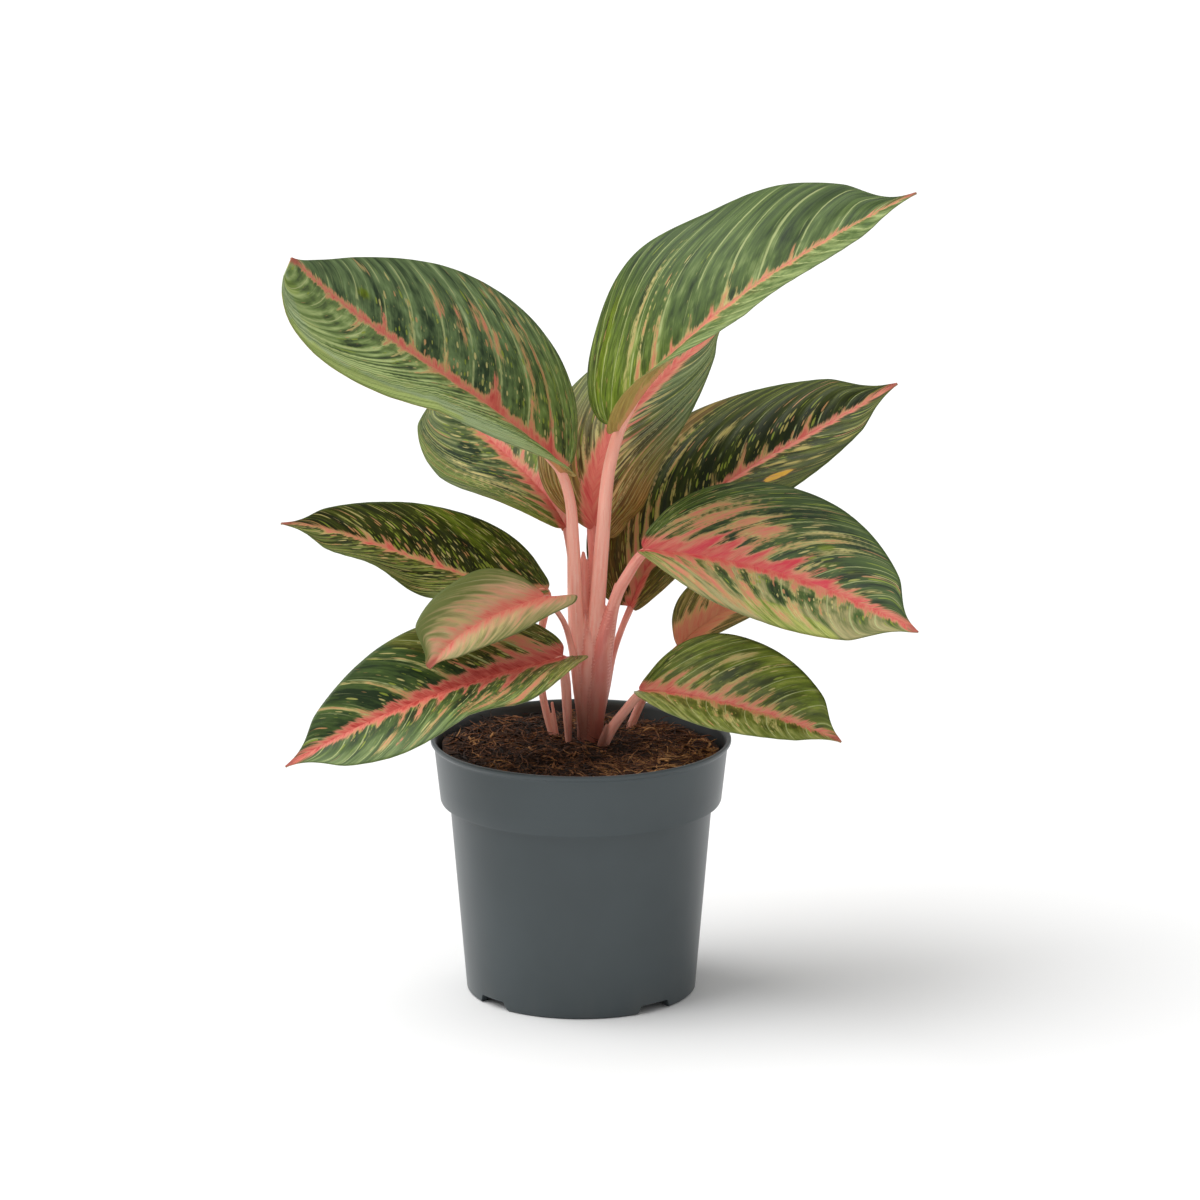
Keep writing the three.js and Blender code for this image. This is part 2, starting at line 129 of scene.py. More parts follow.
def value_noise(x: Array, y: Array, seed: int) -> Array:
    """Smooth noise of two coordinates, from -1 to 1.

    Args:
        x: First coordinate, one cell of the noise to a unit.
        y: Second coordinate.
        seed: The noise's seed.

    Returns:
        The noise at each place.
    """
    cells = 64
    grid = np.random.default_rng(seed).uniform(-1, 1, (cells, cells))
    xi, yi = np.floor(x).astype(int), np.floor(y).astype(int)
    fx, fy = smoothstep(x - xi, 0, 1), smoothstep(y - yi, 0, 1)

    def row(dy: int) -> Array:
        """The noise along one side of each cell."""
        left, right = (grid[(xi + dx) % cells, (yi + dy) % cells] for dx in (0, 1))
        return left * (1 - fx) + right * fx
    return row(0) * (1 - fy) + row(1) * fy


# Meshes


def linked(name: str, data: bpy.types.ID) -> Piece:
    """A new object in the scene.

    Args:
        name: The object's name.
        data: What it shows.

    Returns:
        The object.
    """
    item = bpy.data.objects.new(name, data)
    bpy.context.scene.collection.objects.link(item)
    return item


def mesh_object(name: str, points: Array, faces: Sequence[Face], edges: Sequence[Face] = ()) -> Piece:
    """A smooth mesh object at the origin.

    Args:
        name: The piece's name.
        points: Its points, in millimetres round the pot's axis.
        faces: Its faces, as point numbers.
        edges: Its edges that belong to no face, as point numbers.

    Returns:
        The linked object.
    """
    mesh = bpy.data.meshes.new(name)
    mesh.from_pydata(placed(points).tolist(), edges, [list(face) for face in faces])
    mesh.shade_smooth()
    mesh.update()
    return linked(name, mesh)


def fetched(items: bpy.types.bpy_prop_collection, key: str, width: int) -> Array:
    """Numbers of a mesh's points or of an attribute.

    Args:
        items: The points, or the attribute's data.
        key: The number to read from each.
        width: How many values each holds.

    Returns:
        One row for each item.
    """
    values = np.empty(len(items) * width, np.float32)
    items.foreach_get(key, values)
    return values.reshape(-1, width)


def store(piece: Piece, name: str, values: Array) -> None:
    """Keeps values of the points as an attribute of the piece.

    Args:
        piece: The piece.
        name: The attribute's name.
        values: One value or a row of three for each point.
    """
    kind, key = ("FLOAT", "value") if values.ndim == 1 else ("FLOAT_VECTOR", "vector")
    attribute = piece.data.attributes.new(name, kind, "POINT")
    attribute.data.foreach_set(key, values.astype(np.float32).ravel())


def store_uv(piece: Piece, name: str, values: Array) -> None:
    """Keeps values of the points as a UV map of the piece.

    Args:
        piece: The piece.
        name: The map's name.
        values: A row of two for each point.
    """
    mesh = piece.data
    corners = np.empty(len(mesh.loops), np.int32)
    mesh.loops.foreach_get("vertex_index", corners)
    layer = mesh.uv_layers.new(name=name)
    layer.uv.foreach_set("vector", values[corners].astype(np.float32).ravel())


def settle(piece: Piece) -> None:
    """Keeps what a piece's modifiers make as its plain mesh, and removes them.

    Args:
        piece: The piece.
    """
    bpy.context.view_layer.update()
    evaluated = piece.evaluated_get(bpy.context.evaluated_depsgraph_get())
    mesh = bpy.data.meshes.new_from_object(evaluated)
    piece.modifiers.clear()
    old, piece.data = piece.data, mesh
    bpy.data.meshes.remove(old)
    mesh.name = piece.name


def bake_tree(piece: Piece, tree: bpy.types.NodeTree, values: dict[str, Value]) -> None:
    """Runs a Geometry Nodes tree on a piece and keeps the result as its plain mesh.

    Args:
        piece: The object to run it on.
        tree: The tree.
        values: Its inputs by name.
    """
    modifier = piece.modifiers.new("build", "NODES")
    modifier.node_group = tree
    sockets = {item.name: item.identifier for item in tree.interface.items_tree
               if item.in_out == "INPUT"}
    for name, value in values.items():
        modifier[sockets[name]] = value
    piece.update_tag()
    settle(piece)


def turns_of(count: int) -> Array:
    """Equal turns round a full circle, in radians."""
    return np.linspace(0, 2 * np.pi, count, endpoint=False)


def ring_faces(rings: int, count: int, closed: bool = True) -> list[Face]:
    """Faces of a round body: a middle point, rings of points from it on, and a last middle point.

    Args:
        rings: How many rings there are.
        count: Points in each ring.
        closed: Whether the last middle point is there.

    Returns:
        The faces, which point outwards where the rings rise.
    """
    i = np.arange(count)
    j = (i + 1) % count
    faces = list(zip(np.zeros(count, int), 1 + j, 1 + i))
    for low in range(1, 1 + (rings - 1) * count, count):
        faces += zip(low + i, low + j, low + count + j, low + count + i)
    if closed:
        last = 1 + rings * count
        faces += zip(last - count + i, last - count + j, np.full(count, last))
    return faces


def hand_over(piece: Piece, slot: str, *nodes: str) -> None:
    """Rides the piece on the part's one body and hides the CAD nodes that it replaces.

    Args:
        piece: The finished piece.
        slot: Not used.
        *nodes: The CAD nodes that the piece replaces.
    """
    if nodes:
        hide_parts(*nodes)
    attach(piece, "root")
    LOG.info("%s: %d faces", piece.name, len(piece.data.polygons))


# Node trees


class Wiring:
    """Adds nodes to one node tree and wires them."""

    def __init__(self, tree: bpy.types.NodeTree) -> None:
        """Keeps the tree."""
        self.tree = tree

    def feed(self, socket: Socket, value: Value) -> None:
        """Wires a socket into another, or sets its value.

        Args:
            socket: The input.
            value: What it gets; a colour may leave its alpha out.
        """
        if isinstance(value, bpy.types.NodeSocket):
            self.tree.links.new(value, socket)
        elif isinstance(value, tuple) and socket.type == "RGBA":
            socket.default_value = (*value, 1)
        else:
            socket.default_value = value

    def add(self, kind: str, fed: Union[dict[Union[str, int], Value], None] = None,
            **settings: object) -> Node:
        """A new node.

        Args:
            kind: The node's type.
            fed: Sockets and values for its inputs, by name or number.
            **settings: The node's settings.

        Returns:
            The node.
        """
        node = self.tree.nodes.new(kind)
        for name, value in settings.items():
            setattr(node, name, value)
        for key, value in (fed or {}).items():
            self.feed(node.inputs[key], value)
        return node

    def math(self, operation: str, *values: Value) -> Socket:
        """One step of arithmetic."""
        return self.add("ShaderNodeMath", dict(enumerate(values)), operation=operation).outputs[0]

    def plus(self, first: Value, second: Value) -> Socket:
        """The sum of two values."""
        return self.math("ADD", first, second)

    def minus(self, first: Value, second: Value) -> Socket:
        """The first value less the second."""
        return self.math("SUBTRACT", first, second)

    def times(self, first: Value, second: Value) -> Socket:
        """The product of two values."""
        return self.math("MULTIPLY", first, second)

    def scaled(self, value: Value, factor: Value, offset: Value = 0.0) -> Socket:
        """value times factor plus offset."""
        return self.math("MULTIPLY_ADD", value, factor, offset)

    def weighed(self, *terms: tuple[Value, Value], start: Value = 0.0) -> Socket:
        """A weighed sum.

        Args:
            *terms: Values, each with its weight.
            start: What the sum starts from.

        Returns:
            The sum.
        """
        for value, weight in terms:
            start = self.scaled(value, weight, start)
        return start

    def step(self, value: Value, low: Value, high: Value) -> Socket:
        """Rises smoothly from 0 at low to 1 at high, or falls where low is the larger."""
        fed = {"Value": value, "From Min": low, "From Max": high}
        return self.add("ShaderNodeMapRange", fed, interpolation_type="SMOOTHSTEP").outputs["Result"]

    def vector(self, x: Value, y: Value, z: Value) -> Socket:
        """A vector of three values."""
        return self.add("ShaderNodeCombineXYZ", {0: x, 1: y, 2: z}).outputs[0]

    def apart(self, vector: Socket) -> Sequence[Socket]:
        """The three values of a vector."""
        return self.add("ShaderNodeSeparateXYZ", {0: vector}).outputs

    def place(self) -> Socket:
        """The place on the object, in metres."""
        return self.add("ShaderNodeTexCoord").outputs["Object"]

    def numbers(self, *names: str) -> list[Socket]:
        """The piece's own number attributes."""
        return [self.add("ShaderNodeAttribute", attribute_name=name).outputs["Fac"] for name in names]

    def noise(self, place: Value, scale: float = 1.0, detail: float = 2.0, rough: float = 0.5) -> Socket:
        """Cloudy noise at a place, about 0.5."""
        fed = {"Vector": place, "Scale": scale, "Detail": detail, "Roughness": rough}
        return self.add("ShaderNodeTexNoise", fed).outputs[0]

    def layers(self, colour: Value, *over: tuple[Value, Value]) -> Socket:
        """A colour with others laid over it in turn.

        Args:
            colour: The lowest colour.
            *over: Each other colour, after the share that it covers.

        Returns:
            The colour that shows.
        """
        for share, other in over:
            colour = self.add("ShaderNodeMix", {0: share, 6: colour, 7: other}, data_type="RGBA").outputs[2]
        return colour

    def ramp(self, value: Value, *stops: tuple[float, Colour]) -> Socket:
        """A colour read from stops along a value.

        Args:
            value: The value.
            *stops: Places on it, each with its colour.

        Returns:
            The colour.
        """
        node = self.add("ShaderNodeValToRGB", {0: value})
        elements = node.color_ramp.elements
        while len(elements) < len(stops):
            elements.new(0.5)
        for element, (position, colour) in zip(elements, stops):
            element.position = position
            element.color = (*colour, 1)
        return node.outputs[0]


Sockets = bpy.types.bpy_prop_collection


def open_tree(name: str, kind: str, inputs: dict[str, str],
              outputs: dict[str, str]) -> tuple[Wiring, Sockets, Sockets]:
    """A new node tree with its named sockets.

    Args:
        name: The tree's name.
        kind: The tree's type.
        inputs: Each input with its socket's type.
        outputs: Each output with its socket's type.

    Returns:
        The tree's wiring, the sockets that it is given and those that it hands back.
    """
    tree = bpy.data.node_groups.new(name, kind)
    for way, sockets in (("INPUT", inputs), ("OUTPUT", outputs)):
        for title, what in sockets.items():
            tree.interface.new_socket(title, in_out=way, socket_type="NodeSocket" + what)
    w = Wiring(tree)
    return w, w.add("NodeGroupInput").outputs, w.add("NodeGroupOutput").inputs


# Finishes


class LeafMarkings:
    """Streaks, flares, pale veins and flecks that every blade's material shares."""

    INPUTS = ("Seed", "Line", "Ragged", "Soft")
    OUTPUTS = ("Pink", "Hue", "Line", "Fleck", "Kind", "Tone", "Streak", "Relief")
    # How close across the side veins, how close along them, layer and detail of each noise
    FINE = (2.6, 0.3, 7.7, 3.0)
    MEDIUM = (0.95, 0.13, 3.1, 2.0)
    BROAD = (0.17, 0.05, 41.0, 2.0)
    DRIFT = (0.2, 0.03, 2.0, 2.0)
    BLOT = (0.3, 0.2, 61.0, 2.0)
    # Offsets that give each half and each blade noise of its own
    HALF_VEINS, HALF_APART = 40.0, 400.0
    LEAF_VEINS, LEAF_APART = 13.0, 300.0

    def __init__(self) -> None:
        """Builds the group, which reads the blade's own maps and attributes."""
        self.w, given, made = open_tree(
            "leaf_markings", "ShaderNodeTree", dict.fromkeys(self.INPUTS, "Float"),
            dict.fromkeys(self.OUTPUTS, "Float"))
        w = self.w
        self.tree = w.tree
        veins, place = (w.apart(w.add("ShaderNodeUVMap", uv_map=name).outputs[0])
                        for name in ("veins", "place"))
        blush, hue, density, light, stripe = w.numbers("blush", "hue", "fleck", "light", "stripe")
        right = w.math("GREATER_THAN", veins[1], 0.0)
        out = w.math("ABSOLUTE", veins[1])
        vein = w.weighed((right, self.HALF_VEINS), (given["Seed"], self.LEAF_VEINS), start=veins[0])
        self.root = w.weighed((place[0], 10.0), (right, self.HALF_APART), (given["Seed"], self.LEAF_APART))
        self.far = w.scaled(place[1], 10.0)
        self.fine, medium, broad, drift, blot = (
            self.streaks(*noise) for noise in (self.FINE, self.MEDIUM, self.BROAD, self.DRIFT, self.BLOT))

        ragged = w.weighed((medium, 2.4), (self.fine, 2.6), (blot, 3.2))
        edge = w.scaled(ragged, given["Ragged"], blush)
        pink = w.step(edge, w.scaled(given["Soft"], -1.5), given["Soft"])
        rim = w.step(edge, w.scaled(given["Soft"], 2.0, 1.2), w.scaled(given["Soft"], -1.0))
        hue = w.weighed((blot, 0.7), (self.fine, 0.45), (rim, -0.42), start=hue)

        wander = w.scaled(drift, 0.3, vein)
        line, beside = self.pale_veins(wander, medium, given["Line"])
        line = w.times(line, w.step(out, 0.985, 0.9))
        large, kind = self.dashes(0.55, 0.26, density, 0.0)
        small, _ = self.dashes(1.6, 0.5, w.scaled(density, 0.35), 50.0)
        fleck = w.math("MAXIMUM", large, w.scaled(small, 0.6))
        fleck = w.times(fleck, w.step(out, 0.99, 0.95))
        wave = w.times(w.math("COSINE", w.scaled(wander, 4 * math.pi)), stripe)
        tone = w.weighed((broad, 1.0), (blot, 1.0), (medium, 0.24), (self.fine, 0.26),
                         (w.step(beside, 0.0, 0.25), -0.17), (light, 1.0), start=0.5)
        relief = w.weighed((self.fine, 0.5), (line, -0.5), (pink, 0.2))
        results = (pink, hue, line, fleck, kind, w.plus(tone, wave), self.fine, relief)
        for name, result in zip(self.OUTPUTS, results):
            w.feed(made[name], result)

    def streaks(self, across: float, down: float, layer: float, detail: float) -> Socket:
        """Noise drawn out along the side veins.

        Args:
            across: How close it lies across the veins.
            down: How close it lies along the veins.
            layer: Offset that sets one noise apart from another.
            detail: How many finer layers it has.

        Returns:
            The noise, from about -0.5 to 0.5.
        """
        w = self.w
        spot = w.vector(w.scaled(self.root, across), w.scaled(self.far, down), layer)
        return w.minus(w.noise(spot, 1.0, detail), 0.5)

    def dashes(self, across: float, down: float, density: Value, layer: float) -> tuple[Socket, Socket]:
        """Scattered dashes along the side veins.

        Args:
            across: How close they lie across the veins.
            down: How close they lie along the veins.
            density: Share of the places that have one.
            layer: Offset that sets one scatter apart from another.

        Returns:
            The dashes and a random value for each.
        """
        w = self.w
        spot = w.vector(w.scaled(self.root, across, layer), w.scaled(self.far, down), 0.0)
        cells = w.add("ShaderNodeTexVoronoi", {"Vector": spot, "Scale": 1.0}, voronoi_dimensions="2D").outputs
        luck = w.add("ShaderNodeSeparateColor", {0: cells["Color"]}).outputs
        inside = w.minus(w.scaled(luck[1], 0.24, 0.14), w.scaled(self.fine, 0.2, cells["Distance"]))
        there = w.math("GREATER_THAN", density, luck[0])
        return w.times(w.step(inside, -0.04, 0.08), there), luck[2]

    def pale_veins(self, wander: Socket, medium: Socket, amount: Socket) -> tuple[Socket, Socket]:
        """Broken pale lines on the side veins, with faint ones between them.

        Args:
            wander: Vein number, drifting a little.
            medium: The medium streaks.
            amount: How much of the lines shows.

        Returns:
            The lines, and the distance from the nearest vein.
        """
        w = self.w
        cell, third = w.math("ROUND", wander), w.scaled(wander, 3.0, 0.5)
        beside = w.math("ABSOLUTE", w.minus(wander, cell))
        between = w.math("ABSOLUTE", w.minus(third, w.math("ROUND", third)))
        gaps = w.noise(w.vector(w.scaled(cell, 3.7), w.scaled(self.far, 0.16), 5.0))
        luck = w.add("ShaderNodeTexWhiteNoise", {"W": cell}, noise_dimensions="1D").outputs["Value"]
        shown = w.step(w.weighed((luck, 0.15), (amount, 0.4), start=gaps), 0.72, 0.86)
        thin = w.step(w.scaled(self.fine, 0.05, beside), 0.042, 0.018)
        faint = w.times(w.step(w.scaled(self.fine, 0.1, between), 0.07, 0.03), w.step(medium, -0.02, 0.12))
        return w.math("MAXIMUM", w.times(thin, shown), w.times(faint, w.scaled(amount, 0.4))), beside


@dataclass(frozen=True)
class Finish:
    """What every finish has."""

    name: str
    roughness: float

    def start(self) -> tuple[Material, Wiring]:
        """Opens the material.

        Returns:
            The material, still empty, and its wiring.
        """
        material = bpy.data.materials.new(self.name)
        material.use_nodes = True
        material.node_tree.nodes.clear()
        return material, Wiring(material.node_tree)

    def shade(self, w: Wiring, looks: dict[str, Value], relief: Union[Socket, None] = None,
              depth: float = 0.0) -> None:
        """Ends the material with its shader.

        Args:
            w: The material's wiring.
            looks: Sockets and values for the shader's inputs, by name.
            relief: Relief that bumps the normal, 0 to 1, where there is any.
            depth: Depth of that relief in millimetres.
        """
        if relief is not None:
            bump = w.add("ShaderNodeBump", {"Height": relief, "Distance": depth * MM})
            looks = {**looks, "Normal": bump.outputs[0]}
        shader = w.add("ShaderNodeBsdfPrincipled", {"Roughness": self.roughness, **looks})
        w.add("ShaderNodeOutputMaterial", {"Surface": shader.outputs[0]})


@dataclass(frozen=True)
class LeafFinish(Finish):
    """Waxy blade with a pink midrib, flares, pale lines and flecks."""

    seed: float = 0.0
    line: float = 0.5
    ragged: float = 1.0
    soft: float = 0.8
    dark: Colour = srgb(30, 48, 20)
    green: Colour = srgb(76, 98, 44)
    light: Colour = srgb(140, 158, 96)
    cream: Colour = srgb(200, 188, 122)
    tan: Colour = srgb(198, 146, 98)
    salmon: Colour = srgb(216, 132, 108)
    coral: Colour = srgb(214, 104, 90)
    red: Colour = srgb(196, 60, 64)
    back: Colour = srgb(156, 158, 116)
    back_base: Colour = srgb(196, 150, 92)
    warm: tuple[Colour, Colour, Colour] = (srgb(56, 62, 6), srgb(118, 140, 26), srgb(184, 198, 76))

    YELLOW_SPOT = srgb(226, 172, 50)
    PALE_VEIN = srgb(190, 198, 136)
    FRESH_FLECK = srgb(142, 156, 56)
    DARK_RIM = srgb(74, 92, 40)
    BROWN_TIP = srgb(170, 84, 72)
    TONES = (0.05, 0.5, 0.95)
    HUES = (0.0, 0.25, 0.5, 0.75, 1.0)

    def build(self, markings: LeafMarkings) -> Material:
        """Makes the material of one leaf.

        Args:
            markings: The group that all leaves share, which gets this leaf's values.

        Returns:
            The material.
        """
        material, w = self.start()
        given = {"Seed": self.seed, "Line": self.line, "Ragged": self.ragged, "Soft": self.soft}
        group = w.add("ShaderNodeGroup", node_tree=markings.tree)
        for name, value in given.items():
            w.feed(group.inputs[name], value)
        pink, hue, line, fleck, kind, tone, streak, relief = (
            group.outputs[name] for name in markings.OUTPUTS)
        glow, under, rim, tip = w.numbers("glow", "under", "rim", "tip")
        green = w.ramp(tone, *zip(self.TONES, (self.dark, self.green, self.light)))
        warm = w.ramp(tone, *zip(self.TONES, self.warm))
        pale = w.layers(self.FRESH_FLECK, (w.step(kind, 0.45, 0.6), self.cream),
                        (w.step(kind, 0.78, 0.86), self.tan))
        blush = w.ramp(hue, *zip(self.HUES, (self.cream, self.tan, self.salmon, self.coral, self.red)))
        colour = w.layers(
            green, (glow, warm), (w.step(glow, 1.3, 1.7), self.YELLOW_SPOT),
            (w.scaled(line, 0.64), self.PALE_VEIN), (w.scaled(fleck, 0.8), pale),
            (w.scaled(pink, 0.96), blush), (w.scaled(rim, 0.5), self.DARK_RIM), (tip, self.BROWN_TIP))
        back = w.layers(self.back, (w.step(glow, 0.0, 0.3), self.back_base))
        colour = w.layers(colour, (under, w.layers(colour, (0.6, back))))
        rough = w.weighed((streak, 0.25), (under, 0.15), start=self.roughness)
        looks = {"Base Color": colour, "Roughness": rough, "Specular IOR Level": 0.24}
        self.shade(w, looks, relief, 0.22)
        return material


@dataclass(frozen=True)
class StalkFinish(Finish):
    """Pale salmon stalks, redder where they part, and brown low down at the mix, partly their own colour and
    partly painted shade.
    """

    pale: Colour = srgb(254, 190, 170)
    salmon: Colour = srgb(250, 164, 145)
    red: Colour = srgb(214, 106, 96)
    # Brown near the mix: partly the stalks' own colour, partly painted shade
    brown: Colour = srgb(122, 68, 50)
    foot_x: float = 2.6

    def build(self) -> Material:
        """Makes the material, with fine fibres along the skin.

        Returns:
            The material.
        """
        material, w = self.start()
        skin = w.apart(w.add("ShaderNodeAttribute", attribute_name="skin").outputs["Vector"])

        def along(across: float, down: float) -> Socket:
            """The place on the skin, stretched along the stalk."""
            return w.vector(w.scaled(skin[0], across), w.scaled(skin[1], across), w.scaled(skin[2], down))
        streak = w.noise(along(1.6, 0.05), 1.0, 3.0, 0.6)
        blotch = w.noise(along(0.35, 0.06))
        tint, = w.numbers("tint")
        x, _, height = w.apart(w.place())
        flush = w.plus(w.scaled(blotch, 1.1, -0.55), tint)
        stem = w.step(w.math("ABSOLUTE", w.scaled(x, 1 / MM, self.foot_x)), 9.0, 6.0)
        # Browning of the main stem near the mix, partly real colour and partly painted shade
        low_brown_and_shade = w.times(w.step(w.scaled(blotch, 0.02, height), 0.155, 0.112), stem)
        colour = w.layers(self.salmon, (w.step(streak, 0.3, 0.72), self.pale),
                          (w.scaled(w.step(flush, 0.25, 0.85), 0.8), self.red),
                          (w.scaled(low_brown_and_shade, 0.8), self.brown))
        looks = {"Base Color": colour, "Roughness": w.scaled(streak, 0.2, self.roughness - 0.1),
                 "Subsurface Weight": 0.15, "Subsurface Radius": (0.004, 0.0015, 0.001),
                 "Subsurface Scale": 0.4}
        self.shade(w, looks, streak, 0.3)
        return material


@dataclass(frozen=True)
class PotFinish(Finish):
    """Slate grey moulded plastic with a soft sheen, and painted shade over its inside."""

    grey: Colour = srgb(58, 67, 70)
    # Painted shade: the dark colour laid over the inside of the pot
    inside: Colour = srgb(24, 31, 33)
    dust: Colour = srgb(128, 124, 114)

    def build(self) -> Material:
        """Makes the material, a little dusty near the foot, with painted shade over the inside.

        Returns:
            The material.
        """
        material, w = self.start()
        place = w.place()
        x, y, z = w.apart(place)
        cloud = w.noise(place, 22.0, 3.0, 0.6)
        grain = w.noise(place, 2600.0)
        streak = w.noise(w.vector(w.scaled(x, 60.0), w.scaled(y, 60.0), w.scaled(z, 6.0)), 1.0, 3.0)
        darker, lighter = (tuple(value * share for value in self.grey) for share in (0.94, 1.07))
        # Painted shade: the inside of the pot is darkened towards the inside colour
        inner, = w.numbers("inner")
        dust = w.times(w.step(z, 0.016, 0.0), w.step(streak, 0.42, 0.7))
        colour = w.layers(darker, (w.step(cloud, 0.3, 0.7), lighter), (w.scaled(inner, 0.8), self.inside),
                          (w.scaled(dust, 0.08), self.dust))
        looks = {"Base Color": colour, "Roughness": w.scaled(streak, 0.14, self.roughness - 0.07)}
        self.shade(w, looks, w.weighed((grain, 0.4), (streak, 0.15)), 0.04)
        return material


@dataclass(frozen=True)
class MixFinish(Finish):
    """Damp brown coconut fibre; each fibre has its own tone."""

    lift: float = 1.0
    browns: tuple[Colour, ...] = (srgb(18, 9, 3), srgb(64, 34, 14), srgb(122, 74, 38), srgb(208, 154, 96))

    def build(self) -> Material:
        """Makes the material, lighter towards the front right with painted light.

        Returns:
            The material.
        """
        material, w = self.start()
        place = w.place()
        x, y, _ = w.apart(place)
        tone, = w.numbers("tone")
        cloud = w.noise(place, 70.0, 3.0, 0.6)
        grain = w.noise(place, 900.0, 3.0, 0.6)
        # Painted light: lighter towards the front right, against the shade that the leaves above cast there
        painted_light_right = w.step(w.minus(w.scaled(x, 2.4), y), 0.0, 0.14)
        value = w.weighed((tone, 0.62 * self.lift), (cloud, 1.1), (grain, 0.25), (painted_light_right, 0.36 * self.lift),
                          start=-0.6)
        colour = w.ramp(value, *zip((0.02, 0.34, 0.62, 0.95), self.browns))
        self.shade(w, {"Base Color": colour}, grain, 0.5)
        return material


# Leaves

# Root on the midrib, reach along the blade and share of the width at each side vein
HALF_BLADE = np.array([
    [0.0, 0.0, 0.04], [0.004, -0.012, 0.2], [0.012, 0.012, 0.42], [0.03, 0.075, 0.68],
    [0.07, 0.185, 0.89], [0.16, 0.33, 1.0], [0.3, 0.5, 0.96], [0.46, 0.66, 0.81],
    [0.64, 0.81, 0.56], [0.8, 0.915, 0.29], [0.92, 0.97, 0.11], [1.0, 1.0, 0.012],
])
NARROWEST = 0.012
WIDEST_AT = 0.33
DRIP_TIP = (0.84, 0.965)
LEVEL = (0.0, 1.0, 0.0)
Pair = tuple[float, float]
Marks = Sequence[tuple[float, ...]]


@dataclass
class Half:
    """One half of a blade, left or right of the midrib as seen from the stalk.

    Flares grow from the midrib: root along it, reach to the edge, half breadth in millimetres
    and hue from cream (0) to red (1). Blotches lie on a side vein: its root, how far out, half
    length, half breadth in millimetres and hue. Glows and shades are blotches of yellow green
    and of dark green, with a strength for the hue.
    """

    width: float
    fold: Sequence[float]
    curl: float = 10.0
    tip: float = 1.0
    base: float = 1.0
    lobe: float = 0.0
    wave: Sequence[float] = LEVEL
    drip: float = 0.4
    sweep: Pair = (0.3, 0.25)
    veins: Pair = (0.1, 0.05)
    light: float = 0.0
    edge_light: float = 0.1
    stripe: float = 0.0
    flares: Marks = ()
    blotches: Marks = ()
    glows: Marks = ()
    shades: Marks = ()


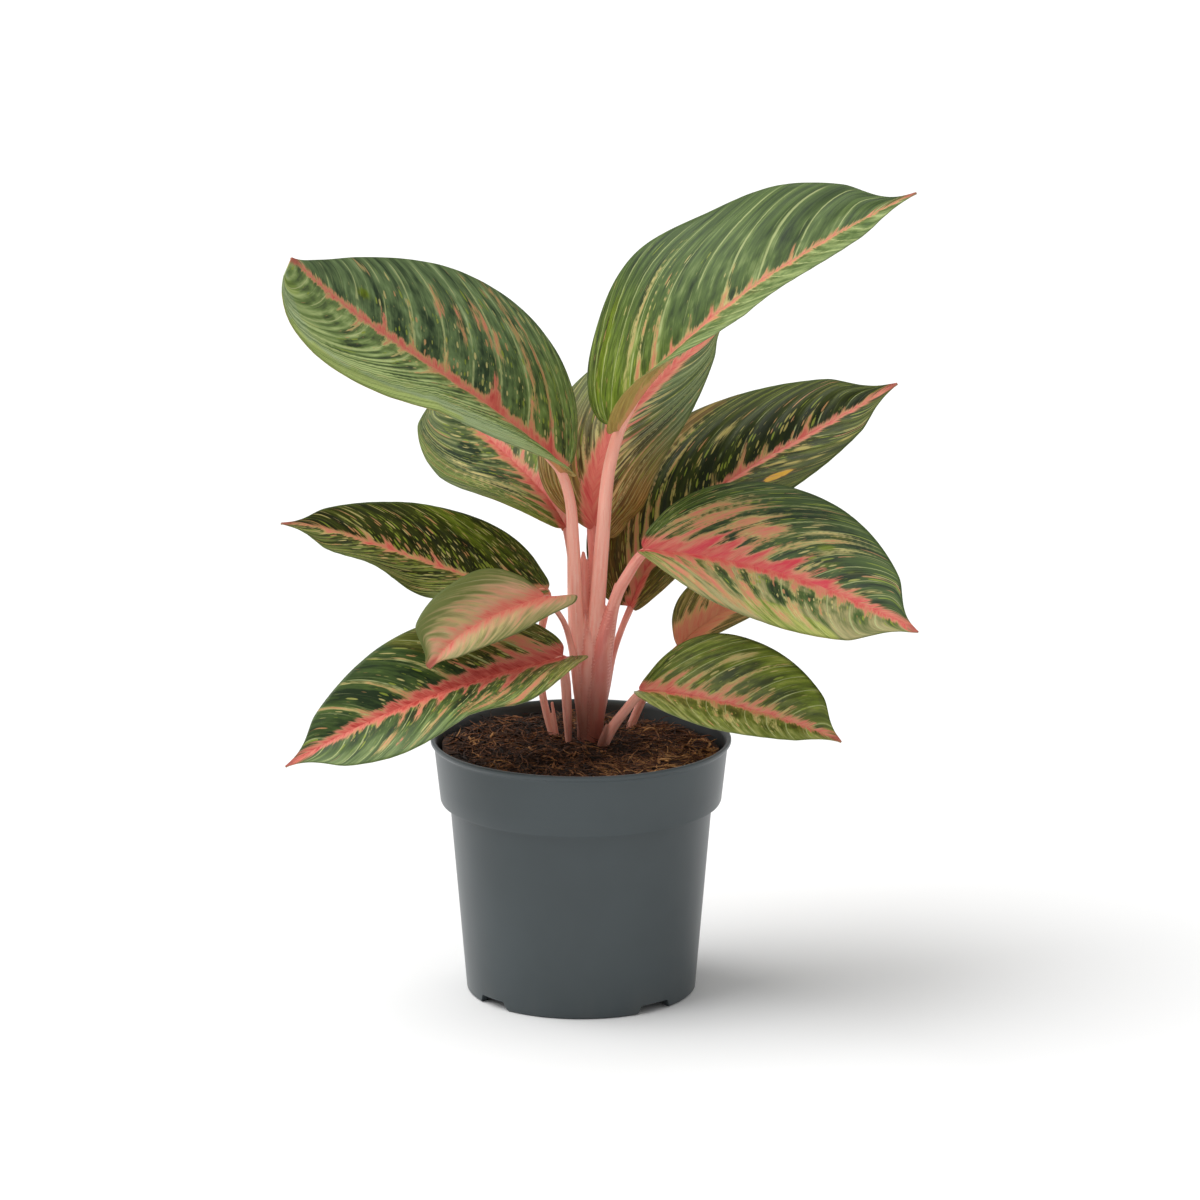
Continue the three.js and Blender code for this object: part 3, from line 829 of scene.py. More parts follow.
@dataclass
class Leaf:
    """One blade: the same formula as in the part's source, on a finer grid."""

    name: str
    finish: LeafFinish
    midrib: Sequence[Sequence[float]]
    roll: Pair
    left: Half
    right: Half
    band: float = 1.0
    band_hue: float = 0.62
    band_shift: float = 0.0
    glow: float = 0.4
    glow_reach: float = 0.34
    fleck: Sequence[float] = (0.3, 0.2, 0.1)
    stray: float = 0.25
    rows: int = 176
    columns: int = 30
    quilt: float = 0.5
    thickness: float = 0.55
    rib_width: float = 1.7
    rib_height: float = 0.7

    FIELDS = ("blush", "hue", "glow", "fleck", "light", "stripe")
    # Millimetres of uneven ripple, and of the keel on the upper face
    RIPPLE = 0.5
    KEEL_ABOVE = 0.45
    # Height of the keel below, for each millimetre of the rib
    KEEL_BELOW = 2.2
    # How much narrower the keel is at the tip, and how much thinner the sheet at its rim
    KEEL_TAPER = 0.75
    RIM_TAPER = 0.4

    def __post_init__(self) -> None:
        """Works out the midrib's curve and length."""
        a, b, c, d = (np.array(point, float) for point in self.midrib)
        self.handles = (a, (-5 * a + 18 * b - 9 * c + 2 * d) / 6, (2 * a - 9 * b + 18 * c - 5 * d) / 6, d)
        self.steps = np.linspace(0, 1, 401)
        path = self.bezier(self.steps)
        lengths = np.r_[0, np.cumsum(np.linalg.norm(np.diff(path, axis=0), axis=1))]
        self.length = float(lengths[-1])
        self.shares = lengths / self.length

    def bezier(self, at: Array) -> Array:
        """Points of the midrib's curve.

        Args:
            at: Places on it, 0 to 1.

        Returns:
            The points.
        """
        k = at[..., None]
        a, b, c, d = self.handles
        return a * (1 - k) ** 3 + 3 * b * k * (1 - k) ** 2 + 3 * c * k * k * (1 - k) + d * k ** 3

    def heading(self, at: Array) -> Array:
        """Directions of the midrib's curve.

        Args:
            at: Places on it, 0 to 1.

        Returns:
            Unit vectors towards the tip.
        """
        k = at[..., None]
        a, b, c, d = self.handles
        slope = (b - a) * (1 - k) ** 2 + 2 * (c - b) * k * (1 - k) + (d - c) * k * k
        return slope / np.linalg.norm(slope, axis=-1, keepdims=True)

    def blade_frame(self, at: Array) -> tuple[Array, Array, Array]:
        """Centre, right and upward of the blade at places along it.

        Args:
            at: The places, 0 at the stalk and 1 at the tip.

        Returns:
            The centres, and the two directions at each.
        """
        place = np.clip(at, 0, 1)
        inner = np.interp(place, self.shares, self.steps)
        along = self.heading(inner)
        centre = self.bezier(inner) + along * ((at - place) * self.length)[..., None]
        side = np.cross(along, [0, 0, 1])
        side /= np.linalg.norm(side, axis=-1, keepdims=True)
        up = np.cross(side, along)
        roll = np.radians(self.roll[0] + (self.roll[1] - self.roll[0]) * place)[..., None]
        return centre, np.cos(roll) * side + np.sin(roll) * up, np.cos(roll) * up - np.sin(roll) * side

    def surface(self, half: Half, side: int, vein: Array, out: Array) -> dict[str, Array]:
        """Points of one half's upper face, with their normals and markings.

        Args:
            half: The half.
            side: -1 for the left half, 1 for the right one.
            vein: 0 to 1 from the stalk to the tip.
            out: 0 to 1 from the midrib to the edge.

        Returns:
            Point, normal, place and the fields that the finish reads, by name.
        """
        table = catmull(HALF_BLADE, vein)
        root, reach, spread = table[..., 0], table[..., 1], table[..., 2]
        tip_share = np.clip((reach - WIDEST_AT) / 0.3, 0, 1)
        base_share = np.clip((WIDEST_AT - reach) / 0.3, 0, 1)
        shape = 1 + (half.tip - 1) * tip_share + (half.base - 1) * base_share
        lobe = np.where(reach < WIDEST_AT, half.lobe * np.exp(-(((spread - 0.45) / 0.38) ** 4)), 0)
        x = root + (reach - lobe - root) * out
        y = np.maximum(spread, NARROWEST) ** shape * half.width * out
        y = y * (1 - half.drip * smoothstep(x, *DRIP_TIP))
        centre, right, upward = self.blade_frame(x)
        fold = np.radians(np.interp(np.clip(x, 0, 1), np.linspace(0, 1, len(half.fold)), half.fold))
        bend = math.radians(half.curl) / half.width + 1e-6
        slope = fold - bend * y
        across = (np.sin(fold) - np.sin(slope)) / bend
        height, count, phase = half.wave
        swing = np.sin(2 * np.pi * count * x + math.radians(phase))
        rise = (np.cos(slope) - np.cos(fold)) / bend + height * swing * (y / half.width) ** 2
        point = centre + right * (side * across)[..., None] + upward * rise[..., None]
        normal = upward * np.cos(slope)[..., None] - right * (side * np.sin(slope))[..., None]
        return {"point": point, "normal": normal, "x": x, "y": y, **self.markings(half, side, x, y, out)}

    def markings(self, half: Half, side: int, x: Array, y: Array, out: Array) -> dict[str, Array]:
        """The fields that the finish reads at places of one half.

        Args:
            half: The half.
            side: -1 for the left half, 1 for the right one.
            x: Place along the blade.
            y: Distance from the midrib in millimetres.
            out: 0 to 1 from the midrib to the edge.

        Returns:
            Vein number, vein root, blush in millimetres inside a pink mark, hue, glow, fleck,
            light and stripe.
        """
        start = x.copy()
        for _ in range(25):
            bent = half.sweep[0] * out + half.sweep[1] * out ** 3
            start = 0.5 * start + 0.5 * (x - np.clip(1 - start, 0, 1) ** 0.8 * bent)
        mm = start * self.length

        def inside(root: float, at: float, long: float, wide: float) -> Array:
            """Millimetres inside an oval on a side vein, below 0 outside it."""
            distance = np.hypot((mm - root * self.length) / wide, (out - at) / long)
            return np.maximum(wide * (1 - distance), -12)
        band = self.band * (2.5 - 1.9 * np.clip(x, 0, 1)) - np.abs(y - side * self.band_shift)
        marks = [(band, self.band_hue)]
        rng = np.random.default_rng([SEED, int(self.finish.seed), side + 1])
        spacing, phase = half.veins
        stray = [(phase + (k + rng.uniform(-0.3, 0.3)) * spacing, 0.04 + self.stray * rng.uniform() ** 2,
                  rng.uniform(0.3, 1.8), self.band_hue - rng.uniform(0.05, 0.35))
                 for k in range(-2, 14) if rng.uniform() < 0.6]
        for root, reach, breadth, hue in (*half.flares, *stray):
            beyond = np.maximum(out - reach, 0) * half.width
            left = np.clip(1 - out / reach, 0, 1)
            taper = breadth * left ** 2.4 + 0.6 * left ** 0.5
            marks.append((taper - np.hypot(mm - root * self.length, beyond), hue))
        marks += [(0.6 * inside(*oval) + 0.2, hue) for *oval, hue in half.blotches]
        depth = np.stack([mark[0] for mark in marks])
        weight = np.exp(np.clip(depth, -12, 12) / 0.8)
        hue = (weight * np.array([mark[1] for mark in marks])[:, None, None]).sum(0) / weight.sum(0)
        glow = self.glow * smoothstep(x, self.glow_reach, 0.02)
        for *oval, strength in half.glows:
            glow = np.maximum(glow, strength * smoothstep(inside(*oval), -1, 1))
        light = half.light + half.edge_light * smoothstep(out, 0.3, 1)
        for *oval, strength in half.shades:
            light = light - strength * smoothstep(inside(*oval), -1, 1)
        stripe = half.stripe * smoothstep(out, 0.08, 0.4) * (1 - 0.7 * smoothstep(x, 0.65, 0.9))
        fleck = np.interp(x, np.linspace(0, 1, len(self.fleck)), self.fleck)
        return {"number": (start - phase) / spacing, "start": start, "blush": depth.max(0), "hue": hue,
                "glow": glow, "fleck": fleck, "light": light, "stripe": stripe}

    def relief(self, x: Array, y: Array, number: Array, side: Array, ends: Array) -> tuple[Array, Array]:
        """Heights of both faces over the plain blade: quilted along its veins, with a keel.

        Args:
            x: Place along the blade.
            y: Distance from the midrib in millimetres.
            number: Vein number.
            side: -1 to 1 from the left edge to the right one.
            ends: 0 to 1 from the stalk to the tip.

        Returns:
            The heights of the upper face and of the lower one, in millimetres.
        """
        reach = np.abs(side)
        inner = smoothstep(y, 0.5, 7) * (1 - 0.8 * smoothstep(reach, 0.7, 1))
        inner = inner * smoothstep(np.minimum(ends * 4, (1 - ends) * 6), 0.05, 0.5)
        pillow = np.abs(np.sin(np.pi * number)) ** 0.8
        ripple = value_noise(number * 0.8 + 7 * (side > 0), reach * 2.5, SEED + int(self.finish.seed))
        raised = (self.quilt * (pillow - 0.6) + self.RIPPLE * ripple) * inner
        taper = 1 - self.KEEL_TAPER * np.clip(x, 0, 1)
        keel = np.exp(-(y / (self.rib_width * taper)) ** 2) * taper
        sheet = self.thickness * (1 - self.RIM_TAPER * smoothstep(reach, 0.95, 1))
        return raised + self.KEEL_ABOVE * keel, raised - (sheet + self.rib_height * self.KEEL_BELOW * keel)

    def build(self, markings: LeafMarkings) -> None:
        """Builds the blade as one closed piece.

        Args:
            markings: The group that all leaves' materials share.
        """
        share = np.linspace(0, 1, self.columns + 1)
        outs = 0.35 * share ** 2 + 0.65 * share
        vein, out = np.meshgrid(np.linspace(0, 1, self.rows + 1), outs, indexing="ij")
        left = self.surface(self.left, -1, vein, out)
        right = self.surface(self.right, 1, vein, out)
        sheets = {key: np.concatenate([left[key][:, :0:-1], right[key]], axis=1) for key in left}
        side = np.concatenate([-out[:, :0:-1], out], axis=1)
        ends = np.concatenate([vein[:, :0:-1], vein], axis=1)
        reach = np.abs(side)
        x, y, number = sheets["x"], sheets["y"], sheets["number"]
        upper, lower = (sheets["point"] + sheets["normal"] * height[..., None]
                        for height in self.relief(x, y, number, side, ends))
        piece = mesh_object(self.name.replace("leaf", "blade"), *closed_sheet(upper, lower))
        store_uv(piece, "veins", doubled(np.stack([number, side], axis=-1)))
        store_uv(piece, "place", doubled(np.stack([sheets["start"] * self.length / 10, y / 10], axis=-1)))
        for name in self.FIELDS:
            store(piece, name, doubled(sheets[name]))
        store(piece, "under", np.r_[np.zeros(side.size), np.ones(side.size)])
        store(piece, "rim", doubled(smoothstep(reach, 0.955, 1) * smoothstep(y, 1, 4)))
        store(piece, "tip", doubled(0.8 * smoothstep((1 - x) * self.length + 2 * y, 8, 3)))
        piece.data.materials.append(self.finish.build(markings))
        hand_over(piece, "leaf", self.name)


def doubled(values: Array) -> Array:
    """Values of a grid, in a row for both faces of a sheet."""
    flat = values.reshape(-1, 2) if values.ndim == 3 else values.ravel()
    return np.concatenate([flat, flat])


def closed_sheet(upper: Array, lower: Array) -> tuple[Array, list[Face]]:
    """Two grids of points joined round their rim.

    Args:
        upper: Rows and columns of the upper face's points.
        lower: The same for the lower face.

    Returns:
        All points, and the faces.
    """
    rows, columns = upper.shape[:2]
    count = rows * columns
    points = np.concatenate([upper.reshape(-1, 3), lower.reshape(-1, 3)])
    index = np.arange(count).reshape(rows, columns)
    a, b = index[:-1, :-1].ravel(), index[:-1, 1:].ravel()
    c, d = index[1:, :-1].ravel(), index[1:, 1:].ravel()
    faces = list(zip(a, b, d, c)) + list(zip(a + count, c + count, d + count, b + count))
    rim = np.concatenate([index[0, :], index[1:, -1], index[-1, -2::-1], index[-2:0:-1, 0]])
    after = np.roll(rim, -1)
    faces += list(zip(rim, rim + count, after + count, after))
    return points, faces


# Name, finish, four points of the midrib, roll in degrees at both ends, left half and right half
BLADES = (
    Leaf("leaf_upper_left",
        LeafFinish("upper_left_blade", 0.4, seed=1, line=0.8, soft=0.45, dark=srgb(42, 60, 36),
            green=srgb(108, 130, 82), light=srgb(180, 196, 144)),
        [[-7, 4, 212], [-41, -8, 244], [-78, -22, 273], [-111, -38, 305]], (44, 46),
        Half(41, [48, 30, -12], tip=0.32, drip=0.0, sweep=(0.22, 0.62), veins=(0.075, 0.03), light=0.12,
            edge_light=0.3, stripe=0.26,
            flares=[(0.1, 0.6, 3, 0.6), (0.2, 0.6, 3, 0.5), (0.3, 0.5, 4, 0.45), (0.38, 0.5, 3, 0.45),
                (0.47, 0.6, 3, 0.35), (0.58, 0.4, 2, 0.3), (0.63, 0.4, 2, 0.35), (0.73, 0.5, 2.2, 0.4),
                (0.8, 0.2, 2, 0.5)],
            shades=[(0.79, 0.42, 0.08, 4, 0.25), (0.5, 0.45, 0.1, 5, 0.3), (0.66, 0.55, 0.08, 3, 0.35),
                (0.4, 0.62, 0.08, 4, 0.3), (0.58, 0.75, 0.06, 3, 0.3), (0.3, 0.5, 0.08, 3, 0.3)],
            glows=[(0.93, 0.75, 0.3, 5, 0.5), (0.1, 1.05, 0.2, 70, 0.5), (0.5, 0.35, 0.5, 80, 0.3)]),
        Half(46, [20], tip=1.3, base=1.3, drip=0.0, sweep=(0.15, 0.22), veins=(0.1, 0.045), light=-0.05,
            flares=[(0.05, 0.34, 6, 0.85), (0.13, 0.42, 2.2, 0.6), (0.265, 0.42, 5.5, 0.85),
                (0.35, 0.08, 2, 0.6), (0.44, 0.42, 1.8, 0.5), (0.555, 0.3, 2.2, 0.6),
                (0.555, 0.6, 0.7, 0.3), (0.65, 0.46, 2.2, 0.75), (0.73, 0.15, 2, 0.6),
                (0.78, 0.2, 2.5, 0.6), (0.84, 0.25, 2.5, 0.6)],
            blotches=[(0.05, 0.55, 0.18, 0.6, 0.6), (0.12, 0.6, 0.14, 0.6, 0.55),
                (0.27, 0.62, 0.07, 1.2, 0.6), (0.1, 0.86, 0.07, 0.6, 0.5), (0.29, 0.7, 0.05, 0.9, 0.6),
                (0.24, 0.55, 0.05, 0.7, 0.5), (0.37, 0.55, 0.06, 0.7, 0.6), (0.44, 0.68, 0.06, 1.0, 0.6),
                (0.68, 0.86, 0.05, 1.0, 0.5)],
            glows=[(0.717, 0.5, 0.07, 3, 1.0)],
            shades=[(0.33, 0.18, 0.2, 4, 0.2), (0.49, 0.25, 0.25, 5, 0.25), (0.6, 0.25, 0.25, 4, 0.25)]),
        band=1.7, band_hue=0.64, glow=0.45, fleck=[0.45, 0.2, 0.03], stray=0.16),
    Leaf("leaf_upper_right",
        LeafFinish("upper_right_blade", 0.4, seed=2, line=0.85, soft=0.5, dark=srgb(36, 54, 24),
            green=srgb(84, 106, 50), light=srgb(150, 166, 104)),
        [[14, 2, 229], [42, -4, 266], [83, -12, 299], [130, -18, 327]], (-34, -32),
        Half(46, [25], tip=1.35, wave=(3, 2, -110), drip=0.55, sweep=(0.32, 0.22), veins=(0.115, 0.07),
            light=0.1, edge_light=-0.14,
            flares=[(0.105, 0.75, 2.2, 0.35), (0.17, 0.2, 2.8, 0.72), (0.17, 0.66, 1.7, 0.42),
                (0.24, 0.12, 2, 0.6), (0.3, 0.17, 2.2, 0.58), (0.38, 0.15, 3, 0.75),
                (0.42, 0.4, 2.2, 0.42), (0.46, 0.12, 2, 0.5), (0.5, 0.14, 2, 0.5), (0.55, 0.14, 2, 0.5),
                (0.63, 0.3, 1.9, 0.62), (0.7, 0.14, 2, 0.5), (0.76, 0.2, 2, 0.58), (0.86, 0.3, 2.5, 0.5)],
            blotches=[(0.045, 0.5, 0.2, 1.2, 0.25)],
            glows=[(-0.2, 0.72, 0.14, 8, 1.15), (0.1, 0.3, 0.2, 4, 0.3)],
            shades=[(0.58, 0.5, 0.25, 5, 0.1)]),
        Half(28, [48, 22, 18], curl=0, tip=0.9, wave=(1.5, 2, 0), drip=0.55, sweep=(0.15, 0.1),
            veins=(0.06, 0.03), light=0.25,
            flares=[(0.1, 0.9, 4, 0.35), (0.25, 0.7, 4, 0.35), (0.38, 0.5, 4, 0.5), (0.45, 0.3, 4, 0.5),
                (0.63, 0.4, 3, 0.5), (0.74, 0.2, 3, 0.5)]),
        band=0.85, band_hue=0.6, glow=0.65, fleck=[0.2, 0.0, 0.0], stray=0.16),
    Leaf("leaf_middle_left",
        LeafFinish("middle_left_blade", 0.42, seed=3, line=0.45, soft=0.6, green=srgb(86, 102, 54),
            light=srgb(156, 158, 108)),
        [[-6, 14, 186], [-20, 35, 201], [-39, 56, 215], [-58, 76, 232]], (30, 30),
        Half(35, [56, 26, 10], tip=0.75, base=1.1, sweep=(0.22, 0.6), veins=(0.11, 0.05), light=0.02,
            edge_light=0.15, stripe=0.14,
            flares=[(-0.14, 1.0, 2.5, 0.4), (-0.04, 1.0, 2.5, 0.45), (0.08, 0.5, 5, 0.6),
                (0.18, 0.45, 4, 0.45), (0.28, 0.3, 4, 0.75), (0.36, 0.3, 2.5, 0.6), (0.46, 0.36, 3, 0.45),
                (0.56, 0.2, 2.5, 0.7), (0.64, 0.32, 2, 0.35)],
            blotches=[(0.12, 0.52, 0.1, 1.5, 0.3), (0.2, 0.62, 0.06, 1.2, 0.1),
                (0.3, 0.66, 0.05, 1.4, 0.1), (0.05, 0.7, 0.1, 1, 0.1)],
            shades=[(0.08, 0.5, 0.1, 3, 0.4), (0.25, 0.46, 0.1, 4, 0.5), (0.4, 0.6, 0.12, 5, 0.5),
                (0.52, 0.42, 0.12, 5, 0.5), (0.3, 0.85, 0.1, 6, 0.3)],
            glows=[(-0.05, 0.85, 0.3, 20, 0.35)]),
        Half(28, [20], curl=20, base=2, sweep=(0.3, 0.3), veins=(0.12, 0.06), light=-0.05,
            flares=[(0.06, 0.9, 7, 0.55), (0.27, 0.4, 3.5, 0.7), (0.4, 0.4, 3, 0.6),
                (0.54, 0.4, 3.2, 0.72), (0.66, 0.4, 2, 0.5)],
            glows=[(0.2, 0.2, 0.3, 4, 0.7), (0.34, 0.15, 0.3, 4, 0.8), (0.47, 0.15, 0.25, 3, 0.5)]),
        band=1.8, band_hue=0.76, glow=0.6, fleck=[0.35, 0.45, 0.4], stray=0.3),
    Leaf("leaf_centre_rear",
        LeafFinish("centre_rear_blade", 0.42, seed=4, line=0.7, ragged=1.2, soft=0.5,
            dark=srgb(46, 60, 24), green=srgb(98, 116, 64), light=srgb(156, 164, 112),
            warm=(srgb(74, 48, 12), srgb(144, 104, 46), srgb(206, 158, 98))),
        [[5, 14, 187], [10, 24, 217], [29, 40, 238], [59, 60, 262]], (-5, -25),
        Half(28, [15], base=1.6, sweep=(0.5, 0.3), veins=(0.08, 0.04), light=0.05,
            flares=[(0.05, 0.4, 5, 0.85), (0.12, 0.6, 2, 0.3), (0.18, 0.3, 2, 0.4),
                (0.24, 0.6, 1.5, 0.15), (0.31, 0.35, 2.6, 0.75), (0.35, 0.5, 1.6, 0.35),
                (0.42, 0.5, 1.5, 0.3)],
            shades=[(0.2, 0.35, 0.25, 4, 0.2)]),
        Half(26, [0], tip=1.4, base=0.8, lobe=0.05, sweep=(0.45, 0.35), veins=(0.07, 0.03),
            flares=[(-0.15, 1.0, 2, 0.35), (-0.05, 1.0, 2, 0.4), (0.06, 0.7, 4, 0.3),
                (0.14, 0.5, 3, 0.35), (0.24, 0.45, 3.5, 0.8), (0.34, 0.4, 3.5, 0.8), (0.42, 0.3, 3, 0.7),
                (0.5, 0.25, 2.5, 0.6), (0.58, 0.3, 2, 0.5), (0.1, 0.9, 1, 0.2), (0.2, 0.9, 1, 0.15),
                (0.29, 0.85, 1, 0.15), (0.38, 0.8, 1, 0.15), (0.46, 0.8, 0.9, 0.1)],
            shades=[(0.05, 0.5, 0.3, 6, 0.25)]),
        band=2.2, band_hue=0.76, glow=1.0, glow_reach=0.6, fleck=[0.4, 0.4, 0.4], stray=0.45),
    Leaf("leaf_middle_right",
        LeafFinish("middle_right_blade", 0.4, seed=5, line=0.35, soft=0.5, dark=srgb(24, 34, 0),
            green=srgb(54, 64, 4), light=srgb(108, 118, 36), cream=srgb(184, 170, 96),
            warm=(srgb(50, 36, 4), srgb(112, 84, 28), srgb(186, 142, 80))),
        [[20, 25, 151], [44, 45, 185], [80, 60, 207], [128, 70, 233]], (-35, -35),
        Half(36, [20], curl=20, drip=0.45, sweep=(0.3, 0.3), veins=(0.085, 0.06), light=-0.12,
            edge_light=0.3,
            flares=[(0.03, 0.9, 4, 0.4), (0.08, 0.9, 4, 0.36), (0.13, 0.8, 3.5, 0.4),
                (0.18, 0.6, 3, 0.35), (0.24, 0.4, 2.5, 0.35), (0.3, 0.3, 2, 0.3), (0.4, 0.2, 1.5, 0.4),
                (0.49, 0.42, 2.6, 0.6), (0.57, 0.3, 1.8, 0.45), (0.63, 0.12, 2, 0.6),
                (0.7, 0.36, 3.6, 0.85), (0.7, 0.6, 1.2, 0.3), (0.77, 0.15, 2, 0.6), (0.82, 0.3, 3, 0.6),
                (0.89, 0.55, 2.5, 0.45)],
            blotches=[(0.36, 0.6, 0.07, 1.8, 0.2), (0.12, 0.75, 0.1, 1.6, 0.3), (0.2, 0.6, 0.1, 1.5, 0.3)],
            shades=[(0.35, 0.2, 0.25, 6, 0.25), (0.62, 0.3, 0.2, 5, 0.25), (0.75, 0.3, 0.2, 5, 0.2)],
            glows=[(-0.05, 0.5, 0.6, 24, 0.8)]),
        Half(32, [58, 30, 10], tip=1.1, base=1.2, drip=0.45, sweep=(0.3, 0.2), veins=(0.085, 0.02),
            light=0.12, edge_light=0.12,
            flares=[(0.1, 0.8, 4, 0.5), (0.25, 0.5, 3, 0.4), (0.48, 0.3, 3, 0.6), (0.57, 0.25, 3, 0.5),
                (0.68, 0.2, 3, 0.5)],
            glows=[(0.41, 0.63, 0.1, 6, 2.2)],
            blotches=[(0.52, 0.33, 0.1, 1.6, 0.05), (0.62, 0.38, 0.1, 2.4, 0.0),
                (0.5, 0.6, 0.05, 1.4, 0.0), (0.6, 0.88, 0.06, 2, 0.0), (0.5, 0.78, 0.05, 1.5, 0.0)]),
        band=1.3, band_hue=0.8, glow_reach=0.2, fleck=[0.5, 0.4, 0.2], stray=0.2, rows=224),
    Leaf("leaf_front_right",
        LeafFinish("front_right_blade", 0.4, seed=6, line=0.7, ragged=1.25, soft=0.7,
            red=srgb(214, 60, 76), light=srgb(172, 162, 112)),
        [[25, 0, 180], [61, -12, 178], [95, -30, 172], [131, -55, 161]], (-38, -34),
        Half(38, [20], curl=20, tip=1.2, base=1.4, drip=0.55, sweep=(0.38, 0.2), veins=(0.09, 0.02),
            light=-0.1,
            flares=[(-0.14, 0.8, 4, 0.45), (-0.05, 0.78, 5, 0.5), (0.04, 0.66, 6, 0.62),
                (0.11, 0.7, 5, 0.5), (0.15, 0.46, 9, 0.95), (0.22, 0.58, 7, 0.78), (0.28, 0.5, 5, 0.6),
                (0.34, 0.4, 6, 0.85), (0.36, 0.62, 2.2, 0.35), (0.45, 0.46, 9, 1.0), (0.5, 0.4, 1.5, 0.3),
                (0.54, 0.3, 4, 0.8), (0.61, 0.34, 7, 1.0), (0.69, 0.36, 3, 0.68), (0.72, 0.6, 1.2, 0.3),
                (0.79, 0.26, 3.4, 0.7), (0.86, 0.35, 3, 0.5)],
            blotches=[(-0.1, 0.55, 0.16, 3, 0.45), (0.0, 0.5, 0.16, 3.5, 0.5), (0.37, 0.6, 0.12, 1, 0.35),
                (0.22, 0.42, 0.12, 6, 0.46), (0.12, 0.5, 0.12, 4, 0.42), (0.45, 0.6, 0.1, 1, 0.2),
                (0.3, 0.68, 0.1, 1.5, 0.25)],
            glows=[(0.42, 0.55, 0.06, 3, 0.9), (0.34, 0.75, 0.06, 2.5, 0.9), (0.52, 0.4, 0.1, 2, 0.6),
                (0.6, 0.5, 0.1, 2, 0.6)],
            shades=[(0.2, 0.33, 0.12, 3, 0.3), (0.12, 0.75, 0.15, 9, 0.25), (0.32, 0.8, 0.12, 12, 0.2),
                (0.6, 0.45, 0.15, 3, 0.25)]),
        Half(36, [47, 26, 10], tip=0.75, base=1.4, drip=0.55, sweep=(0.22, 0.25), veins=(0.09, 0.02),
            light=0.32, edge_light=0.15,
            flares=[(-0.2, 1.0, 5, 0.4), (-0.08, 1.0, 5, 0.5), (0.05, 0.9, 7, 0.7), (0.13, 0.85, 5, 0.6),
                (0.2, 0.7, 2.5, 0.35), (0.27, 0.85, 4, 0.6), (0.36, 0.75, 2.6, 0.38), (0.44, 0.3, 4, 0.7),
                (0.52, 0.62, 2.6, 0.42), (0.62, 0.62, 4, 0.42), (0.7, 0.5, 3, 0.45), (0.8, 0.4, 3, 0.5)],
            blotches=[(0.4, 0.8, 0.1, 3, 0.45), (0.25, 0.75, 0.1, 2, 0.2), (0.3, 0.6, 0.2, 2.5, 0.5),
                (0.1, 0.65, 0.25, 5, 0.5), (0.5, 0.7, 0.15, 2, 0.4), (0.17, 0.85, 0.1, 2.5, 0.4),
                (-0.05, 0.7, 0.25, 4, 0.45), (-0.16, 0.85, 0.15, 3, 0.4)],
            shades=[(0.46, 0.42, 0.2, 5, 0.6), (0.33, 0.4, 0.2, 2.5, 0.4), (0.23, 0.45, 0.2, 2.5, 0.35),
                (0.57, 0.35, 0.12, 3, 0.35)],
            glows=[(0.4, 0.9, 0.25, 26, 0.5)]),
        band=2.4, band_hue=0.84, glow=0.3, fleck=[0.2, 0.3, 0.3], stray=0.4),
    Leaf("leaf_left",
        LeafFinish("left_blade", 0.4, seed=7, line=0.3, soft=0.45, dark=srgb(22, 26, 0),
            green=srgb(54, 62, 8), light=srgb(122, 132, 62)),
        [[-14, 20, 159], [-48, 22, 165], [-86, 20, 179], [-119, 10, 189]], (34, 30),
        Half(26, [40, 25, 10], tip=0.8, base=1.4, wave=(4, 2, -40), drip=0.5, veins=(0.09, 0.04),
            light=0.2, stripe=0.25,
            flares=[(0.38, 0.3, 3, 0.6), (0.5, 0.2, 3, 0.45), (0.57, 0.25, 3, 0.5), (0.66, 0.3, 3, 0.7),
                (0.8, 0.6, 4, 0.4)]),
        Half(27, [20], tip=1.5, base=1.4, drip=0.5, sweep=(0.3, 0.15), veins=(0.08, 0.03), light=-0.1,
            flares=[(0.08, 0.4, 2.5, 0.4), (0.17, 0.2, 2, 0.35), (0.3, 0.15, 1.5, 0.3),
                (0.39, 0.24, 3.2, 0.8), (0.47, 0.12, 1.5, 0.5), (0.57, 0.34, 3.6, 0.7),
                (0.64, 0.4, 2.2, 0.6), (0.64, 0.62, 0.8, 0.3), (0.75, 0.1, 2, 0.5)],
            glows=[(0.05, 0.7, 0.4, 14, 0.5)]),
        band=0.8, glow=0.3, fleck=[0.6, 0.7, 0.4], stray=0.14),
    Leaf("leaf_small_front",
        LeafFinish("small_front_blade", 0.44, seed=8, line=0.3, ragged=1.1, soft=1.8,
            dark=srgb(110, 118, 62), green=srgb(164, 150, 102), light=srgb(216, 160, 130),
            tan=srgb(204, 148, 114)),
        [[-15, -8, 163], [-32, -18, 159], [-47, -30, 153], [-59, -40, 142]], (40, 40),
        Half(15, [28], base=0.7, lobe=0.2, drip=0.6, sweep=(0.3, 0.2), veins=(0.1, 0.1), light=0.4,
            edge_light=-0.5,
            flares=[(0.0, 0.8, 3, 0.5), (0.1, 0.65, 2.5, 0.55), (0.18, 0.5, 2, 0.4),
                (0.28, 0.75, 2.2, 0.42), (0.38, 0.5, 1.8, 0.4), (0.46, 0.85, 2.2, 0.38),
                (0.54, 0.75, 2, 0.4), (0.63, 0.7, 2, 0.4), (0.72, 0.5, 2, 0.45)]),
        Half(20, [20], curl=20, tip=0.4, base=1.8, drip=0.6, sweep=(0.4, 0.3), veins=(0.1, 0.1),
            light=0.5, edge_light=-1.0,
            flares=[(0.1, 0.5, 4, 0.6), (0.22, 0.55, 3, 0.5), (0.33, 0.6, 2.5, 0.55),
                (0.45, 0.55, 2.5, 0.5), (0.56, 0.6, 2, 0.42), (0.66, 0.5, 2.5, 0.55),
                (0.78, 0.5, 2.5, 0.6)],
